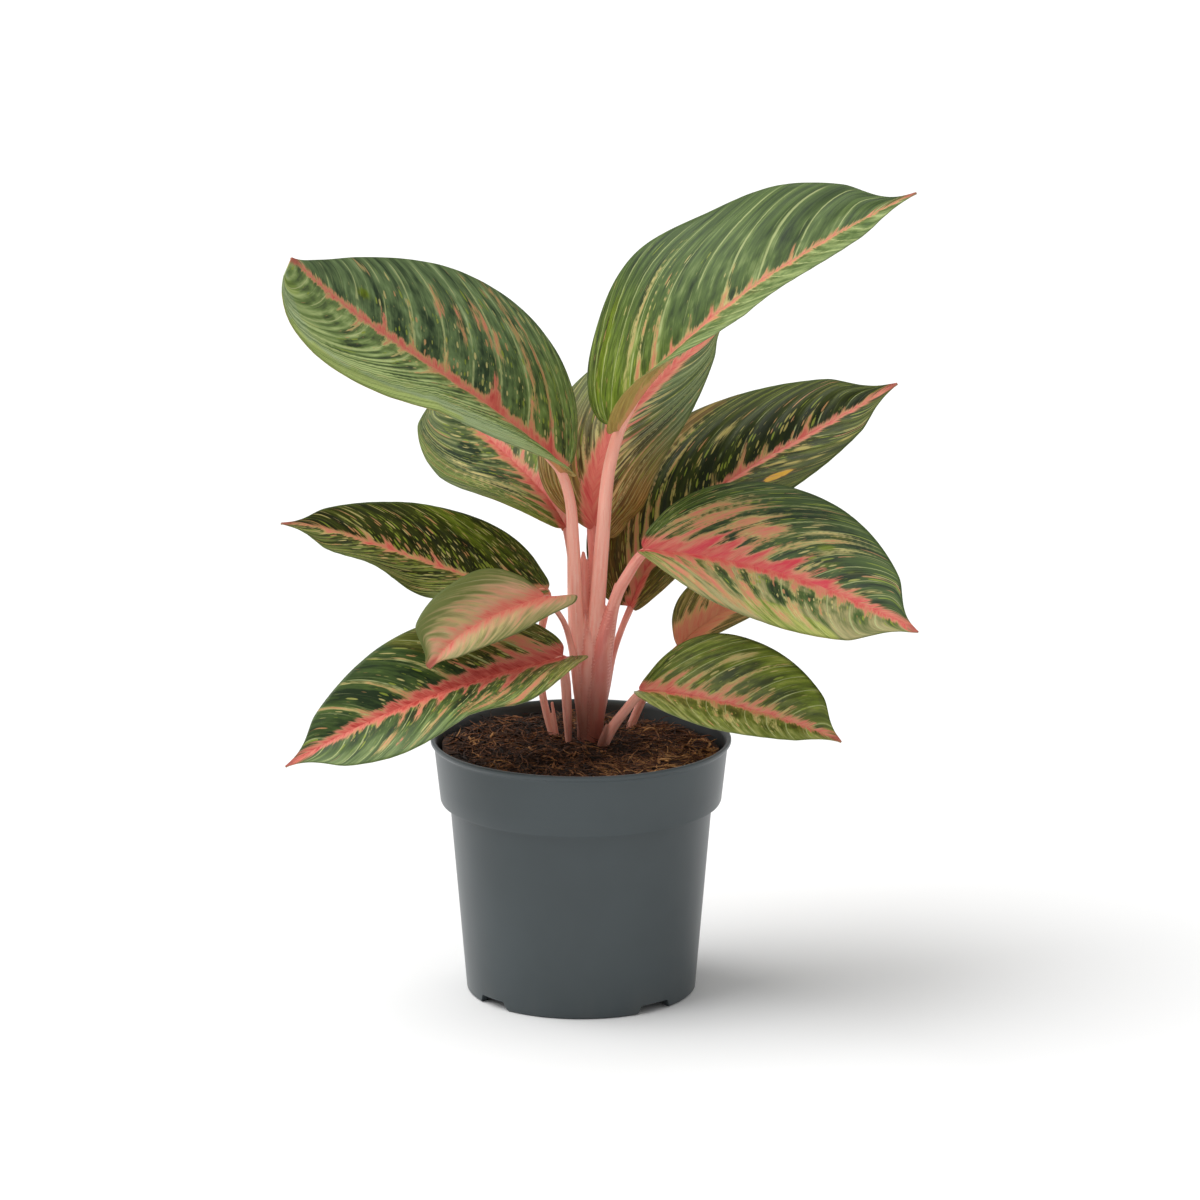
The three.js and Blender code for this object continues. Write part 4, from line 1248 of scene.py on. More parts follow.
            shades=[(0.16, 0.55, 0.2, 1.6, 0.4), (0.5, 0.45, 0.2, 1.6, 0.45), (0.61, 0.4, 0.2, 1.6, 0.5),
                (0.72, 0.4, 0.2, 1.6, 0.5)]),
        band=1.9, band_hue=0.74, glow=0.0, fleck=[0.1, 0.0, 0.0], stray=0.3, rows=120, columns=22,
        quilt=0.2, rib_width=1.2, rib_height=0.4),
    Leaf("leaf_lower_left",
        LeafFinish("lower_left_blade", 0.4, seed=9, line=0.7, ragged=1.2, soft=0.6, red=srgb(180, 50, 48),
            warm=(srgb(58, 52, 8), srgb(116, 112, 36), srgb(190, 166, 92))),
        [[-7, -10, 139], [-39, -25, 134], [-74, -45, 126], [-115, -60, 108]], (40, 40),
        Half(37, [50, 44, 10], tip=1.1, base=0.8, lobe=0.05, wave=(4, 2, 95), drip=0.5, sweep=(0.3, 0.15),
            veins=(0.08, 0.05), edge_light=0.2,
            flares=[(0.05, 0.5, 5, 0.7), (0.14, 0.9, 6, 0.8), (0.25, 0.8, 5, 0.82), (0.33, 0.35, 4, 0.85),
                (0.42, 0.55, 4.5, 0.8), (0.49, 0.85, 2.8, 0.7), (0.56, 0.6, 3, 0.7), (0.65, 0.5, 4, 0.55),
                (0.74, 0.42, 2.5, 0.45), (0.8, 0.25, 2.5, 0.6)],
            blotches=[(0.2, 0.7, 0.12, 2, 0.5), (0.36, 0.72, 0.1, 1.4, 0.5), (0.1, 0.75, 0.15, 3, 0.5),
                (0.56, 0.75, 0.08, 1.0, 0.4), (-0.08, 0.8, 0.3, 3, 0.5)],
            shades=[(0.3, 0.5, 0.2, 4, 0.3), (0.52, 0.4, 0.15, 3, 0.3), (0.7, 0.4, 0.15, 3, 0.25)]),
        Half(29, [20], curl=20, tip=1.25, base=1.1, drip=0.5, sweep=(0.25, 0.12), veins=(0.155, 0.05),
            light=-0.08, edge_light=0.05,
            flares=[(-0.04, 0.9, 5, 0.6), (0.03, 0.7, 5, 0.6), (0.1, 0.6, 4.6, 0.62),
                (0.16, 0.45, 3.6, 0.66), (0.22, 0.25, 2.4, 0.6), (0.28, 0.4, 3, 0.65),
                (0.35, 0.4, 3.4, 0.72), (0.36, 0.95, 1.1, 0.3), (0.44, 0.18, 3, 0.8),
                (0.52, 0.3, 3, 0.66), (0.52, 0.98, 1.25, 0.36), (0.6, 0.2, 3, 0.75),
                (0.67, 0.3, 3.4, 0.74), (0.67, 1.05, 1.4, 0.38), (0.8, 0.45, 2.4, 0.55),
                (0.86, 0.5, 2, 0.5)],
            blotches=[(0.0, 0.6, 0.4, 5, 0.5), (0.08, 0.66, 0.2, 3, 0.45)],
            shades=[(0.4, 0.6, 0.4, 4, 0.2), (0.59, 0.5, 0.4, 5, 0.2)],
            glows=[(0.15, 0.6, 0.5, 18, 0.5)]),
        band=2.3, band_hue=0.86, glow=0.6, fleck=[0.7, 0.25, 0.1]),
    Leaf("leaf_lower_right",
        LeafFinish("lower_right_blade", 0.4, seed=10, line=1.15, ragged=1.2, soft=0.7,
            dark=srgb(50, 62, 12), green=srgb(96, 108, 34), light=srgb(160, 162, 92)),
        [[24, -2, 123], [50, -15, 123], [76, -30, 120], [102, -45, 114]], (-45, -40),
        Half(28, [20], base=1.8, drip=0.45, sweep=(0.33, 0.12), veins=(0.12, 0.11),
            flares=[(0.0, 0.5, 7, 0.5), (0.08, 0.45, 5, 0.55), (0.17, 0.72, 2.4, 0.38),
                (0.23, 0.35, 2, 0.5), (0.34, 0.9, 2.4, 0.4), (0.4, 0.35, 2, 0.5), (0.46, 0.42, 2.2, 0.5),
                (0.53, 0.45, 2.6, 0.55), (0.6, 0.42, 2.4, 0.45), (0.67, 0.42, 2.4, 0.45),
                (0.74, 0.45, 2.6, 0.42), (0.82, 0.4, 2, 0.5)],
            blotches=[(0.17, 0.72, 0.08, 2, 0.3)],
            glows=[(0.3, 0.75, 0.25, 40, 0.45)],
            shades=[(0.28, 0.5, 0.3, 3.5, 0.22), (0.44, 0.5, 0.3, 3.5, 0.22), (0.58, 0.5, 0.3, 3.5, 0.22),
                (0.1, 0.6, 0.3, 4, 0.2)]),
        Half(27, [58, 42, 32], tip=1.1, base=1.2, drip=0.45, sweep=(0.2, 0.15), veins=(0.1, 0.02),
            light=0.2,
            flares=[(0.1, 0.6, 2.5, 0.35), (0.28, 0.4, 2, 0.35), (0.36, 0.6, 3, 0.42),
                (0.57, 0.6, 3, 0.35), (0.64, 0.5, 2.5, 0.3)],
            blotches=[(0.42, 0.6, 0.12, 1.6, 0.35), (0.66, 0.5, 0.1, 1.2, 0.2)],
            shades=[(0.2, 0.4, 0.2, 3, 0.3), (0.46, 0.4, 0.2, 3, 0.35), (0.62, 0.7, 0.15, 3, 0.3),
                (0.74, 0.35, 0.15, 3, 0.25)]),
        band=1.4, band_hue=0.74, band_shift=-0.5, glow=0.3, fleck=[0.3, 0.2, 0.15], rows=144, columns=26,
        rib_width=1.4, rib_height=0.5),
    Leaf("leaf_right_rear",
        LeafFinish("right_rear_blade", 0.42, seed=11, line=0.3, ragged=1.8, dark=srgb(60, 54, 14),
            green=srgb(124, 110, 48), light=srgb(190, 164, 102), cream=srgb(232, 204, 140),
            tan=srgb(238, 180, 122), salmon=srgb(240, 158, 122), coral=srgb(236, 126, 104)),
        [[40, 28, 134], [55, 45, 142], [75, 60, 149], [98, 75, 154]], (-40, -40),
        Half(17, [20], base=1.3, veins=(0.12, 0.05),
            flares=[(-0.2, 1.0, 5, 0.4), (-0.05, 1.0, 6, 0.4), (0.1, 1.0, 6, 0.4), (0.2, 0.7, 4, 0.42),
                (0.3, 0.5, 2.5, 0.5), (0.4, 0.7, 3, 0.5), (0.52, 0.6, 3, 0.6), (0.66, 0.5, 3, 0.7)],
            shades=[(0.12, 0.75, 0.12, 2, 0.5), (0.22, 0.6, 0.12, 2, 0.5)]),
        Half(13, [52, 38, 30], veins=(0.12, 0.05), light=0.1,
            flares=[(-0.1, 1.0, 6, 0.45), (0.1, 0.9, 5, 0.5), (0.3, 0.6, 3, 0.6), (0.6, 0.6, 3, 0.5)]),
        band=3.4, band_hue=0.56, glow=0.1, fleck=[0.4, 0.3, 0.2], stray=0.5, rows=120, columns=22,
        quilt=0.25, rib_width=1.1, rib_height=0.4),
)


@dataclass
class Leaves:
    """All eleven blades, with each one's finish."""

    blades: Sequence[Leaf] = BLADES

    def named(self, name: str) -> Leaf:
        """The blade of that name."""
        return next(blade for blade in self.blades if blade.name == name)

    def build(self) -> None:
        """Builds every blade."""
        markings = LeafMarkings()
        for blade in self.blades:
            blade.build(markings)


# Stalks


class Base(Enum):
    """Where a stalk starts."""

    ROOTED = "in a hole of the mix"
    JOINED = "inside the main shoot"


@dataclass
class Stalk:
    """One stalk: points from the mix up, each with a radius, and what it carries."""

    path: Sequence[Sequence[float]]
    blade: str = ""
    radius: float = 1.5
    base: Base = Base.JOINED
    tint: float = 0.3

    ROOT_DEPTH = 86.0
    STEP = 1.2
    THINNEST = 0.25
    # Place along the blade, share of the radius and depth below the midrib of a stalk's end
    HOLD = ((0.0, 1.0, 0.75), (0.05, 0.72, 0.85), (0.12, 0.35, 1.2))

    def centre_line(self, leaves: Leaves) -> tuple[Array, Array]:
        """Points along the stalk and its radius at each.

        Args:
            leaves: The blades, one of which the stalk may carry.

        Returns:
            The points and the radii.
        """
        rows = [list(row) for row in self.path]
        if self.base is Base.ROOTED:
            rows.insert(0, [rows[0][0], rows[0][1], self.ROOT_DEPTH, rows[0][3]])
        if self.blade:
            leaf = leaves.named(self.blade)
            for at, share, sink in self.HOLD:
                centre, _, upward = leaf.blade_frame(np.array([at]))
                radius = self.radius * share
                rows.append([*(centre[0] - upward[0] * radius * sink), radius])
        table = np.array(rows, float)
        spans = np.linalg.norm(np.diff(table[:, :3], axis=0), axis=1)
        knots = np.r_[0, np.cumsum(spans ** 0.5)]
        at = np.linspace(0, knots[-1], max(6, int(spans.sum() / self.STEP)))
        slopes = np.gradient(table, knots, axis=0)
        i = np.clip(np.searchsorted(knots, at, side="right") - 1, 0, len(knots) - 2)
        span = (knots[i + 1] - knots[i])[:, None]
        k = ((at - knots[i]) / span[:, 0])[:, None]
        value = ((2 * k ** 3 - 3 * k ** 2 + 1) * table[i] + (k ** 3 - 2 * k ** 2 + k) * span * slopes[i]
                 + (3 * k ** 2 - 2 * k ** 3) * table[i + 1] + (k ** 3 - k ** 2) * span * slopes[i + 1])
        return value[:, :3], np.maximum(value[:, 3], self.THINNEST)


class StalkSkin:
    """Sweeps a stalk's section along its line with Geometry Nodes and fuses a shoot's stalks."""

    SIDES = 22
    GRAIN = 0.5
    SMOOTHING = 6
    GIRTH_SHARE = 3.0

    def __init__(self) -> None:
        """Builds the tree: line with radii in, closed tapered skin out."""
        w, given, made = open_tree(
            "stalk_skin", "GeometryNodeTree", {"Line": "Geometry", "Sides": "Int", "Finish": "Material"},
            {"Skin": "Geometry"})
        self.tree = w.tree
        curve = w.add("GeometryNodeMeshToCurve", {"Mesh": given["Line"]}).outputs["Curve"]
        radius = w.add("GeometryNodeInputNamedAttribute", {"Name": "girth"}, data_type="FLOAT")
        circle = w.add("GeometryNodeCurvePrimitiveCircle", {"Resolution": given["Sides"], "Radius": 1.0})
        ring = w.add("GeometryNodeStoreNamedAttribute", {
            "Name": "ring", "Geometry": circle.outputs["Curve"],
            "Value": w.add("GeometryNodeInputPosition").outputs[0],
        }, data_type="FLOAT_VECTOR", domain="POINT")
        sweep = w.add("GeometryNodeCurveToMesh", {
            "Curve": curve, "Profile Curve": ring.outputs["Geometry"],
            "Scale": radius.outputs["Attribute"], "Fill Caps": True})
        smooth = w.add("GeometryNodeSetShadeSmooth", {"Geometry": sweep.outputs["Mesh"]})
        real = w.add("GeometryNodeRealizeInstances", {"Geometry": smooth.outputs["Geometry"]})
        dressed = w.add("GeometryNodeSetMaterial", {"Geometry": real.outputs["Geometry"],
                                                    "Material": given["Finish"]})
        w.feed(made["Skin"], dressed.outputs["Geometry"])

    def sweep(self, name: str, lines: Sequence[tuple[Array, Array, float]], finish: Material) -> Piece:
        """Sweeps several lines into one piece.

        Args:
            name: The piece's name.
            lines: Each line's points, radii and tint.
            finish: The stalks' material.

        Returns:
            The swept piece.
        """
        edges: list[Face] = []
        start = 0
        for line, _, _ in lines:
            edges += [(start + i, start + i + 1) for i in range(len(line) - 1)]
            start += len(line)
        piece = mesh_object(name, np.concatenate([line for line, _, _ in lines]), (), edges)
        store(piece, "girth", np.concatenate([radii for _, radii, _ in lines]) * MM)
        store(piece, "tint", np.concatenate([np.full(len(line), tint) for line, _, tint in lines]))
        store(piece, "reach", np.concatenate(
            [np.r_[0, np.cumsum(np.linalg.norm(np.diff(line, axis=0), axis=1))] for line, _, _ in lines]))
        bake_tree(piece, self.tree, {"Sides": self.SIDES, "Finish": finish})
        made = piece.data.attributes
        skin = fetched(made["ring"].data, "vector", 3) * self.GIRTH_SHARE
        skin[:, 2:] = fetched(made["reach"].data, "value", 1)
        store(piece, "skin", skin)
        return piece

    def fuse(self, piece: Piece, finish: Material) -> None:
        """Grows the stalks of a piece together into one smooth skin, keeping their colours.

        Args:
            piece: The swept piece.
            finish: The stalks' material.
        """
        mesh = piece.data
        tint = fetched(mesh.attributes["tint"].data, "value", 1)[:, 0]
        skin = fetched(mesh.attributes["skin"].data, "vector", 3)
        near = KDTree(len(mesh.vertices))
        for i, place in enumerate(fetched(mesh.vertices, "co", 3)):
            near.insert(place, i)
        near.balance()
        remesh = piece.modifiers.new("fuse", "REMESH")
        remesh.mode = "VOXEL"
        remesh.voxel_size = self.GRAIN * MM
        remesh.use_smooth_shade = True
        smooth = piece.modifiers.new("smooth", "SMOOTH")
        smooth.factor = 0.5
        smooth.iterations = self.SMOOTHING
        settle(piece)
        piece.data.materials.clear()
        piece.data.materials.append(finish)
        piece.data.shade_smooth()
        nearest = np.array([near.find(vertex.co)[1] for vertex in piece.data.vertices])
        store(piece, "tint", tint[nearest])
        store(piece, "skin", skin[nearest])


@dataclass
class Stalks:
    """Every shoot of the plant."""

    finish: StalkFinish = StalkFinish("stalk_skin", 0.42)
    shoots: dict[str, list[Stalk]] = field(default_factory=lambda: {
        "main_shoot": [
            Stalk([[3.4, 11, 97.6, 4.4], [3.6, 10.5, 109.8, 5.4], [4, 10, 120, 6.2],
                   [4, 9.5, 133, 6.2], [4, 9, 143, 4.8], [4, 8.5, 153, 2]], base=Base.ROOTED,
                  tint=0.45),
            Stalk([[2.2, 11, 97, 2.4], [0.4, 9, 120, 3.4], [-2, 7, 150, 3.2], [-3, 5, 181, 2.6],
                   [-4.4, 4, 200, 2.2]], "leaf_upper_left", 2, tint=0.2),
            Stalk([[3.6, 11, 97, 2.6], [4.5, 10, 125, 3.2], [5.8, 7, 146, 3.3], [6.8, 6, 160, 3.2],
                   [8.8, 5, 187, 2.9], [11.2, 4, 212, 2.6]], "leaf_upper_right", 2.3, tint=0.1),
            Stalk([[2.2, 12, 97, 2.2], [0, 12, 120, 2.6], [-1.6, 12, 149, 2.2],
                   [-3.2, 12, 171, 1.9]], "leaf_middle_left", 1.7, tint=0.5),
            Stalk([[3.6, 12.5, 97, 2.2], [4, 13, 119, 2.6], [4, 12, 149, 2.6], [5.2, 12, 174, 2.3]],
                  "leaf_centre_rear", 2, tint=0.6),
            Stalk([[4.6, 9.6, 97, 2.4], [8, 7, 121, 3.2], [10.4, 5, 142, 3], [13.6, 3, 159, 2.5],
                   [18.7, 1, 170, 2.3]], "leaf_front_right", 2, tint=0.5),
            Stalk([[5.2, 11.6, 97, 1.6], [10, 14, 119, 1.6], [12.8, 17, 133, 1.5],
                   [16.4, 21, 143, 1.4]], "leaf_middle_right", 1.5, tint=0.5),
            Stalk([[1.4, 9.4, 97, 1.5], [-1.6, 6, 121, 1.6], [-4, 2, 141, 1.4], [-8, -4, 154, 1.2]],
                  "leaf_small_front", 1.2, tint=0.4),
            Stalk([[1, 11, 97, 2.5], [0.8, 11, 120, 3], [0.8, 11, 150, 3.2], [0.9, 11, 166, 2.4],
                   [1, 11, 177, 0.7]], tint=0.35),
            Stalk([[5, 8, 97, 3], [7, 6, 121, 3.8], [9.5, 4.5, 142, 3.3], [12, 3.5, 155, 2],
                   [13.8, 3.5, 166, 0.5]], tint=0.7),
        ],
        "stalk_lower_left": [
            Stalk([[-5, 9, 98.5, 1.4], [-5.4, 5, 111, 1.9], [-6, 0, 125, 2.1],
                   [-6.6, -5, 132.5, 1.9]], "leaf_lower_left", 1.7, Base.ROOTED, 0.35),
        ],
        "side_shoot_left": [
            Stalk([[-11.3, 17, 98, 1.6], [-13.7, 17, 108, 1.6], [-16, 17, 120.5, 1.6],
                   [-16.4, 18, 139, 1.6]], "leaf_left", 1.6, Base.ROOTED, 0.3),
            Stalk([[-9.7, 16, 98.3, 1], [-10.5, 16, 105.4, 0.9], [-11.7, 15, 114, 0.7]],
                  base=Base.ROOTED, tint=0.3),
        ],
        "side_shoot_right": [
            Stalk([[8.4, 0, 98.5, 2.4], [12.4, 0, 107, 2.2], [17.2, -1, 114, 2]],
                  "leaf_lower_right", 1.8, Base.ROOTED, 0.2),
            Stalk([[7.6, -1, 98.5, 1.6], [8.8, -2, 104, 1.3], [10.4, -2, 109.4, 0.6]],
                  base=Base.ROOTED, tint=0.3),
        ],
        "side_shoot_right_rear": [
            Stalk([[19.7, 32, 97.5, 1.8], [22.1, 32, 104.4, 1.8], [26.2, 31, 113.5, 1.7],
                   [32.2, 30, 125, 1.5]], "leaf_right_rear", 1.4, Base.ROOTED, 0.3),
        ],
    })

    def build(self, leaves: Leaves) -> None:
        """Builds every shoot as one piece each.

        Args:
            leaves: The blades that the stalks carry.
        """
        skin = StalkSkin()
        material = self.finish.build()
        for name, stalks in self.shoots.items():
            lines = [(*stalk.centre_line(leaves), stalk.tint) for stalk in stalks]
            piece = skin.sweep(name + "_skin", lines, material)
            skin.fuse(piece, material)
            hand_over(piece, "stalk", name)


# Pot and potting mix


def level_ring(radius: float, z: float, turns: Array) -> Array:
    """Points of a level ring round the pot's axis."""
    return np.stack([radius * np.cos(turns), radius * np.sin(turns), np.full_like(turns, z)], axis=-1)


@dataclass
class Pot:
    """The moulded nursery pot: one section turned round, with four drain notches."""

    height: float = 103.5
    lip: float = 60.0
    lip_thickness: float = 1.6
    band_top: float = 58.6
    band_bottom: float = 56.2
    band_height: float = 78.0
    body_top: float = 52.4
    foot: float = 46.0
    foot_edge: float = 1.2
    foot_width: float = 2.4
    wall: float = 1.3
    floor_height: float = 3.9
    floor_thickness: float = 1.4
    notch_height: float = 3.6
    notch_bottom: float = 9.0
    notch_top: float = 6.5
    notch_reach: Pair = (40.0, 48.0)
    notch_angles: tuple[float, ...] = (-50.0, 40.0, 130.0, 220.0)
    segments: int = 192
    finish: PotFinish = PotFinish("pot_plastic", 0.36)

    SHARP_EDGE = 40.0
    NOTCH_FACES = ((3, 2, 1, 0), (4, 5, 6, 7), (1, 5, 4, 0), (2, 6, 5, 1), (3, 7, 6, 2), (0, 4, 7, 3))

    def outside(self) -> list[Pair]:
        """The section from the middle of the underside out, up the outside and over the lip.

        Returns:
            Radius and height of each point.
        """
        lip_bottom = self.height - self.lip_thickness
        inner_foot = self.foot - self.foot_edge - self.foot_width
        section = [
            (0, self.floor_height), (inner_foot - 0.3, self.floor_height),
            (inner_foot, self.floor_height - 0.3), (inner_foot, 0.3), (inner_foot + 0.3, 0),
            (self.foot - self.foot_edge, 0),
            (self.foot - self.foot_edge / 2, 0.2), (self.foot - 0.15, 0.6), (self.foot, self.foot_edge),
        ]
        section += [(self.foot + (self.body_top - self.foot) * k, self.foot_edge
                     + (self.band_height - 0.7 - self.foot_edge) * k) for k in (0.2, 0.4, 0.6, 0.8, 0.98, 1)]
        section += [
            (self.body_top + 0.15, self.band_height - 0.35), (self.body_top + 0.6, self.band_height - 0.1),
            (self.band_bottom - 0.9, self.band_height), (self.band_bottom - 0.35, self.band_height + 0.15),
            (self.band_bottom, self.band_height + 0.9),
        ]
        section += [(self.band_bottom + (self.band_top - self.band_bottom) * k, self.band_height + 0.9
                     + (lip_bottom - 1.2 - self.band_height - 0.9) * k) for k in (0.3, 0.6, 0.97, 1)]
        return section + [
            (self.band_top + 0.3, lip_bottom - 0.8), (self.lip - 0.3, lip_bottom - 0.1),
            (self.lip, lip_bottom + 0.4), (self.lip, self.height - 0.5),
            (self.lip - 0.15, self.height - 0.15), (self.lip - 0.5, self.height),
            (self.lip - self.lip_thickness + 0.4, self.height),
            (self.lip - self.lip_thickness, self.height - 0.2),
        ]

    def inside(self) -> list[Pair]:
        """The section down the inside to the middle of the floor.

        Returns:
            Radius and height of each point.
        """
        shelf = self.band_height + self.wall
        floor_top = self.floor_height + self.floor_thickness
        return [
            (self.band_top - self.wall, self.height - self.lip_thickness - 0.6),
            (self.band_bottom - self.wall, shelf + 0.6),
            (self.band_bottom - self.wall - 0.5, shelf), (self.body_top - self.wall + 0.6, shelf),
            (self.body_top - self.wall, self.band_height - 0.4), (self.foot - self.wall, floor_top),
            (0, floor_top),
        ]

    def build(self) -> None:
        """Builds the pot as one closed piece."""
        outside, inside = self.outside(), self.inside()
        (_, first), *section, (_, last) = outside + inside
        turns = turns_of(self.segments)
        rings = [level_ring(radius, z, turns) for radius, z in section]
        points = np.concatenate([[[0, 0, first]], *rings, [[0, 0, last]]])
        piece = mesh_object("pot_shell", points, ring_faces(len(rings), self.segments))
        lip_points = 1 + (len(outside) - 1) * self.segments
        # Marks the inside of the pot, which the finish darkens with painted shade
        store(piece, "inner", (np.arange(len(points)) > lip_points).astype(float))
        for angle in self.notch_angles:
            self.cut_notch(piece, math.radians(angle))
        piece.data.materials.clear()
        piece.data.materials.append(self.finish.build())
        bpy.context.view_layer.update()
        piece.data.set_sharp_from_angle(angle=math.radians(self.SHARP_EDGE))
        hand_over(piece, "pot", "pot")

    def cut_notch(self, piece: Piece, turn: float) -> None:
        """Cuts one drain notch through the foot.

        Args:
            piece: The pot.
            turn: Where the notch is, in radians round the axis.
        """
        corners = [(-self.notch_bottom, -1), (self.notch_bottom, -1),
                   (self.notch_top, self.notch_height), (-self.notch_top, self.notch_height)]
        along, across = math.cos(turn), math.sin(turn)
        points = [[x * along + reach * across, x * across - reach * along, z]
                  for reach in self.notch_reach for x, z in corners]
        cutter = mesh_object("notch_cutter", np.array(points), self.NOTCH_FACES)
        modifier = piece.modifiers.new("cut", "BOOLEAN")
        modifier.operation = "DIFFERENCE"
        modifier.solver = "EXACT"
        modifier.object = cutter
        settle(piece)
        bpy.data.objects.remove(cutter)


@dataclass
class PottingMix:
    """Coconut fibre: an uneven bed with loose strands on it."""

    top: float = 99.2
    swell: float = 0.9
    tilt: float = -0.028
    radius: float = 55.4
    bottom: float = 5.7
    rings: int = 64
    segments: int = 160
    strands: int = 2500
    strewn_radius: float = 53.0
    bed_finish: MixFinish = MixFinish("mix_bed", 0.95, lift=0.5)
    strand_finish: MixFinish = MixFinish("mix_strand", 0.8)

    # Radius and height of the mix where it lies against the pot's wall and shelf
    WALL = ((50.7, 78.6), (50.9, 80.2), (54.4, 80.2))
    FOOT_RADIUS = 44.3
    BED_TONE = 0.4
    STREWN_RINGS = 19
    STREWN_SEGMENTS = 72
    # Length, half thickness and turn in degrees of each kind of fibre
    PATTERNS = ((15.0, 0.28, 70.0), (11.0, 0.36, 150.0), (19.0, 0.24, 100.0), (8.0, 0.5, 40.0),
                (5.0, 0.8, 30.0), (13.0, 0.3, -110.0), (9.0, 0.3, 210.0))
    STRAND_STEPS = 8
    TWIST = 0.4
    WANDER = 0.12
    FLATNESS = 0.7
    # Ranges that each fibre's turns in radians, scale, tone and lift in millimetres are drawn from
    TURNS = ((-0.5, 0.5), (-0.4, 0.4), (0.0, 2 * math.pi))
    SCALE = (0.5, 1.15)
    TONE = (0.0, 1.0)
    LIFT = (-0.4, 1.3)

    def height(self, x: Array, y: Array) -> Array:
        """Height of the bed, with a few clods and a hollow at the front left.

        Args:
            x: Place to the right of the pot's axis.
            y: Place behind it.

        Returns:
            The height at each place.
        """
        bumps = np.sin(x * 0.11 + 1.3) * np.cos(y * 0.13 - 0.4)
        clods = 1.3 * value_noise(x / 7 + 40, y / 6 + 40, SEED) \
            + 0.7 * value_noise(x / 2.6 + 80, y / 2.6 + 80, SEED + 1)
        edge = smoothstep(np.hypot(x, y), self.radius - 1, self.radius - 5)
        hollow = 1.6 * np.exp(-((x + 8) / 13) ** 2 - ((y + 34) / 9) ** 2)
        return self.top - 0.7 + self.swell * bumps + self.tilt * x + (clods - hollow) * edge

    def surface(self, radius: float, rings: int, turns: Array) -> tuple[Array, Array]:
        """Points of the bed's surface.

        Args:
            radius: How far from the middle they reach.
            rings: How many rings they lie on.
            turns: The turns of each ring's points.

        Returns:
            The middle point in a row of its own, and the rings from the middle out.
        """
        radii = np.linspace(0, radius, rings + 1)[:, None]
        x, y = radii * np.cos(turns), radii * np.sin(turns)
        points = np.stack([x, y, self.height(x, y)], axis=-1)
        return points[0, :1], points[1:]

    def build(self) -> None:
        """Builds the bed and the strands."""
        turns = turns_of(self.segments)
        middle, top = self.surface(self.radius, self.rings, turns)
        levels = [level_ring(radius, z, turns) for radius, z in ((self.FOOT_RADIUS, self.bottom), *self.WALL)]
        levels += list(top[::-1])
        points = np.concatenate([[[0, 0, self.bottom]], *levels, middle])
        bed = mesh_object("mix_bed", points, ring_faces(len(levels), self.segments))
        store(bed, "tone", np.full(len(points), self.BED_TONE))
        bed.data.materials.append(self.bed_finish.build())
        hand_over(bed, "potting_mix", "potting_mix")
        self.scatter()

    def scatter(self) -> None:
        """Strews the strands over the bed with Geometry Nodes."""
        turns = turns_of(self.STREWN_SEGMENTS)
        middle, rings = self.surface(self.strewn_radius, self.STREWN_RINGS, turns)
        faces = ring_faces(len(rings), len(turns), closed=False)
        upward = [(face[0], *face[:0:-1]) for face in faces]
        piece = mesh_object("mix_strands", np.concatenate([middle, *rings]), upward)
        stock = bpy.data.collections.new("strand_patterns")
        bpy.context.scene.collection.children.link(stock)
        patterns = [self.strand(kind) for kind in range(len(self.PATTERNS))]
        for pattern in patterns:
            stock.objects.link(pattern)
        bake_tree(piece, self.strand_tree(stock),
                  {"Count": self.strands, "Seed": SEED, "Finish": self.strand_finish.build()})
        for pattern in patterns:
            bpy.data.objects.remove(pattern)
        bpy.data.collections.remove(stock)
        self.keep_inside(piece)
        hand_over(piece, "potting_mix")

    def keep_inside(self, piece: Piece) -> None:
        """Bends what would reach through the pot's wall back along it.

        Args:
            piece: The strands.
        """
        vertices = piece.data.vertices
        places = fetched(vertices, "co", 3)
        middle = np.array(AXIS)[:2]
        from_axis = places[:, :2] - middle
        share = np.minimum(1, (self.radius - 0.4) * MM / np.linalg.norm(from_axis, axis=1))
        places[:, :2] = from_axis * share[:, None] + middle
        vertices.foreach_set("co", places.ravel())
        piece.data.update()

    def strand(self, kind: int) -> Piece:
        """One curled, tapered fibre of four sides, lying about the origin.

        Args:
            kind: Its number among the patterns.

        Returns:
            An object that isn't in the scene yet.
        """
        length, girth, turn = self.PATTERNS[kind]
        rng = np.random.default_rng(SEED + kind)
        steps = self.STRAND_STEPS
        heading = np.radians(turn) * np.linspace(-0.5, 0.5, steps) + rng.normal(0, self.WANDER, steps)
        pitch = rng.normal(0, self.WANDER, steps)
        moves = np.stack([np.cos(heading) * np.cos(pitch), np.sin(heading) * np.cos(pitch),
                          np.sin(pitch)], axis=-1) * (length / (steps - 1))
        centre = np.cumsum(moves, axis=0)
        centre -= centre.mean(axis=0)
        step = np.arange(steps)[:, None]
        size = girth * (1 - 0.8 * abs(2 * step / (steps - 1) - 1) ** 3)
        angle = np.pi * np.arange(4) / 2 + self.TWIST * step
        across = np.stack([-np.sin(heading), np.cos(heading), np.zeros(steps)], axis=-1)
        points = centre[:, None] + (size * np.cos(angle))[..., None] * across[:, None]
        points[..., 2] += self.FLATNESS * size * np.sin(angle)
        faces: list[Face] = [(3, 2, 1, 0)]
        for low in range(0, 4 * (steps - 1), 4):
            faces += [(low + i, low + (i + 1) % 4, low + 4 + (i + 1) % 4, low + 4 + i) for i in range(4)]
        faces.append(tuple(range(4 * (steps - 1), 4 * steps)))
        mesh = bpy.data.meshes.new(f"strand_{kind}")
        mesh.from_pydata((points.reshape(-1, 3) * MM).tolist(), [], faces)
        mesh.shade_smooth()
        return bpy.data.objects.new(mesh.name, mesh)

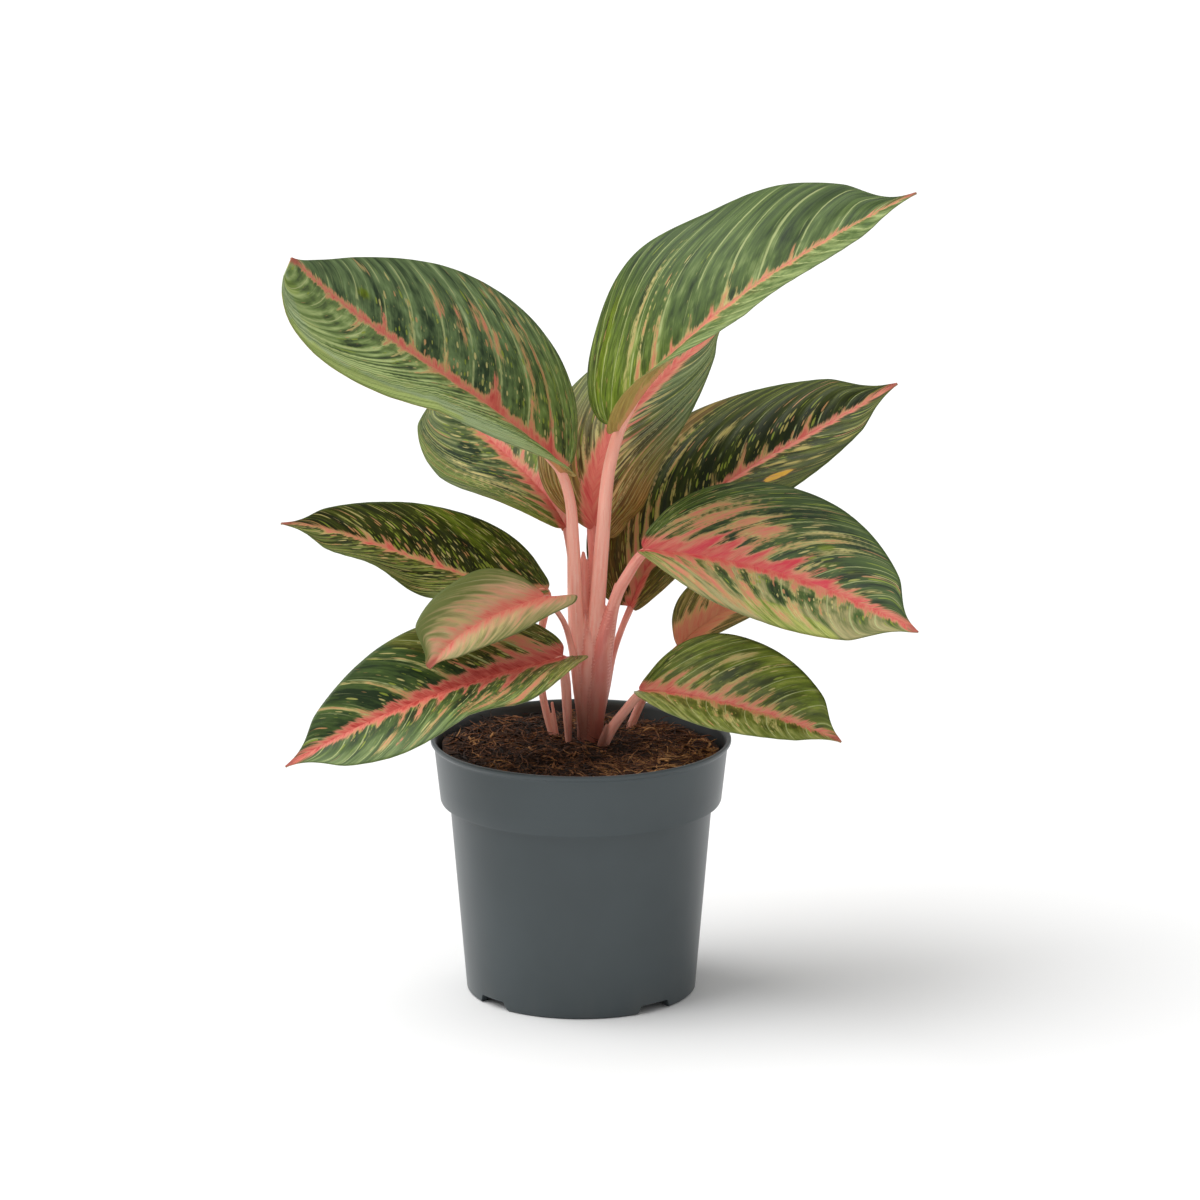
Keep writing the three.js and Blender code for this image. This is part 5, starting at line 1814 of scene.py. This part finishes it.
    def strand_tree(self, stock: bpy.types.Collection) -> bpy.types.NodeTree:
        """The scattering tree: bed in, strands out.

        Args:
            stock: The collection with the patterns.

        Returns:
            The tree.
        """
        w, given, made = open_tree(
            "strew_strands", "GeometryNodeTree",
            {"Bed": "Geometry", "Count": "Int", "Seed": "Int", "Finish": "Material"},
            {"Strands": "Geometry"})

        def rand(span: Pair, offset: int) -> Socket:
            """A random number for each strand."""
            fed = {2: span[0], 3: span[1], "Seed": w.plus(given["Seed"], offset)}
            return w.add("FunctionNodeRandomValue", fed, data_type="FLOAT").outputs[1]
        area = math.pi * (self.strewn_radius * MM) ** 2
        spread = w.add("GeometryNodeDistributePointsOnFaces", {
            "Mesh": given["Bed"], "Density": w.math("DIVIDE", given["Count"], area),
            "Seed": given["Seed"]}, distribute_method="RANDOM")
        pick = w.add("GeometryNodeCollectionInfo", {
            "Collection": stock, "Separate Children": True, "Reset Children": True})
        turn = w.vector(*(rand(span, 1 + i) for i, span in enumerate(self.TURNS)))
        place = w.add("GeometryNodeInstanceOnPoints", {
            "Points": spread.outputs["Points"], "Instance": pick.outputs[0], "Pick Instance": True,
            "Rotation": turn, "Scale": rand(self.SCALE, 4)})
        tone = w.add("GeometryNodeStoreNamedAttribute", {
            "Name": "tone", "Geometry": place.outputs["Instances"], "Value": rand(self.TONE, 5),
        }, data_type="FLOAT", domain="INSTANCE")
        low, high = self.LIFT
        lift = w.add("GeometryNodeTranslateInstances", {
            "Instances": tone.outputs["Geometry"],
            "Translation": w.vector(0.0, 0.0, rand((low * MM, high * MM), 6))})
        real = w.add("GeometryNodeRealizeInstances", {"Geometry": lift.outputs["Instances"]})
        dressed = w.add("GeometryNodeSetMaterial", {"Geometry": real.outputs["Geometry"],
                                                    "Material": given["Finish"]})
        w.feed(made["Strands"], dressed.outputs["Geometry"])
        return w.tree


# Studio


@dataclass
class Studio:
    """Camera, pale floor and soft lights, as in the photograph."""

    elevation: float = 13.9
    distance: float = 2400.0
    target: tuple[float, float, float] = (7.6, 0.0, 159.8)
    lens: float = 181.44
    sensor: float = 36.0
    farthest: float = 50.0
    floor_side: float = 16.0
    floor_colour: Colour = (0.92, 0.92, 0.92)
    surround: float = 0.53
    key_power: float = 2.7
    key_size: float = 60.0
    key_height: float = 57.0
    key_turn: float = 2.0

    def build(self) -> None:
        """Sets up everything that isn't part of the object."""
        self.camera()
        self.floor()
        self.lights()

    def camera(self) -> None:
        """The camera at the photograph's viewing angle."""
        data = bpy.data.cameras.new("camera")
        data.lens = self.lens
        data.sensor_width = self.sensor
        data.sensor_height = self.sensor
        data.sensor_fit = "HORIZONTAL"
        data.clip_end = self.farthest
        camera = linked("camera", data)
        tilt = math.radians(self.elevation)
        aim = Vector(placed(np.array(self.target)))
        away = Vector((0, -math.cos(tilt), math.sin(tilt)))
        camera.location = aim + away * self.distance * MM
        camera.rotation_euler = (math.pi / 2 - tilt, 0, 0)
        bpy.context.scene.camera = camera

    def floor(self) -> None:
        """A wide pale floor, so far that the camera sees nothing past it."""
        side = self.floor_side / 2
        mesh = bpy.data.meshes.new("floor")
        corners = [(-side, -side, 0), (side, -side, 0), (side, side, 0), (-side, side, 0)]
        mesh.from_pydata(corners, [], [(0, 1, 2, 3)])
        finish = Finish("pale_floor", 0.9)
        material, w = finish.start()
        finish.shade(w, {"Base Color": self.floor_colour, "Specular IOR Level": 0.0})
        mesh.materials.append(material)
        linked("floor", mesh)

    def lights(self) -> None:
        """A very soft key from the front left and an even white surround."""
        world = bpy.data.worlds.new("surround")
        bpy.context.scene.world = world
        world.use_nodes = True
        background = world.node_tree.nodes["Background"].inputs
        background["Color"].default_value = (1, 1, 1, 1)
        background["Strength"].default_value = self.surround
        data = bpy.data.lights.new("key", "SUN")
        data.energy = self.key_power
        data.angle = math.radians(self.key_size)
        height, turn = math.radians(self.key_height), math.radians(self.key_turn)
        toward = Vector((math.cos(height) * math.cos(turn), math.cos(height) * math.sin(turn),
                         -math.sin(height)))
        linked("key", data).rotation_euler = toward.to_track_quat("-Z", "Y").to_euler()
        bpy.context.scene.view_settings.view_transform = "Standard"


def main() -> None:
    """Builds the studio and dresses the part."""
    logging.basicConfig(level=logging.INFO, format="%(name)s: %(message)s")
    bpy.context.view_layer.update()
    Studio().build()
    leaves = Leaves()
    Pot().build()
    PottingMix().build()
    Stalks().build(leaves)
    leaves.build()


if __name__ == "__main__":
    main()
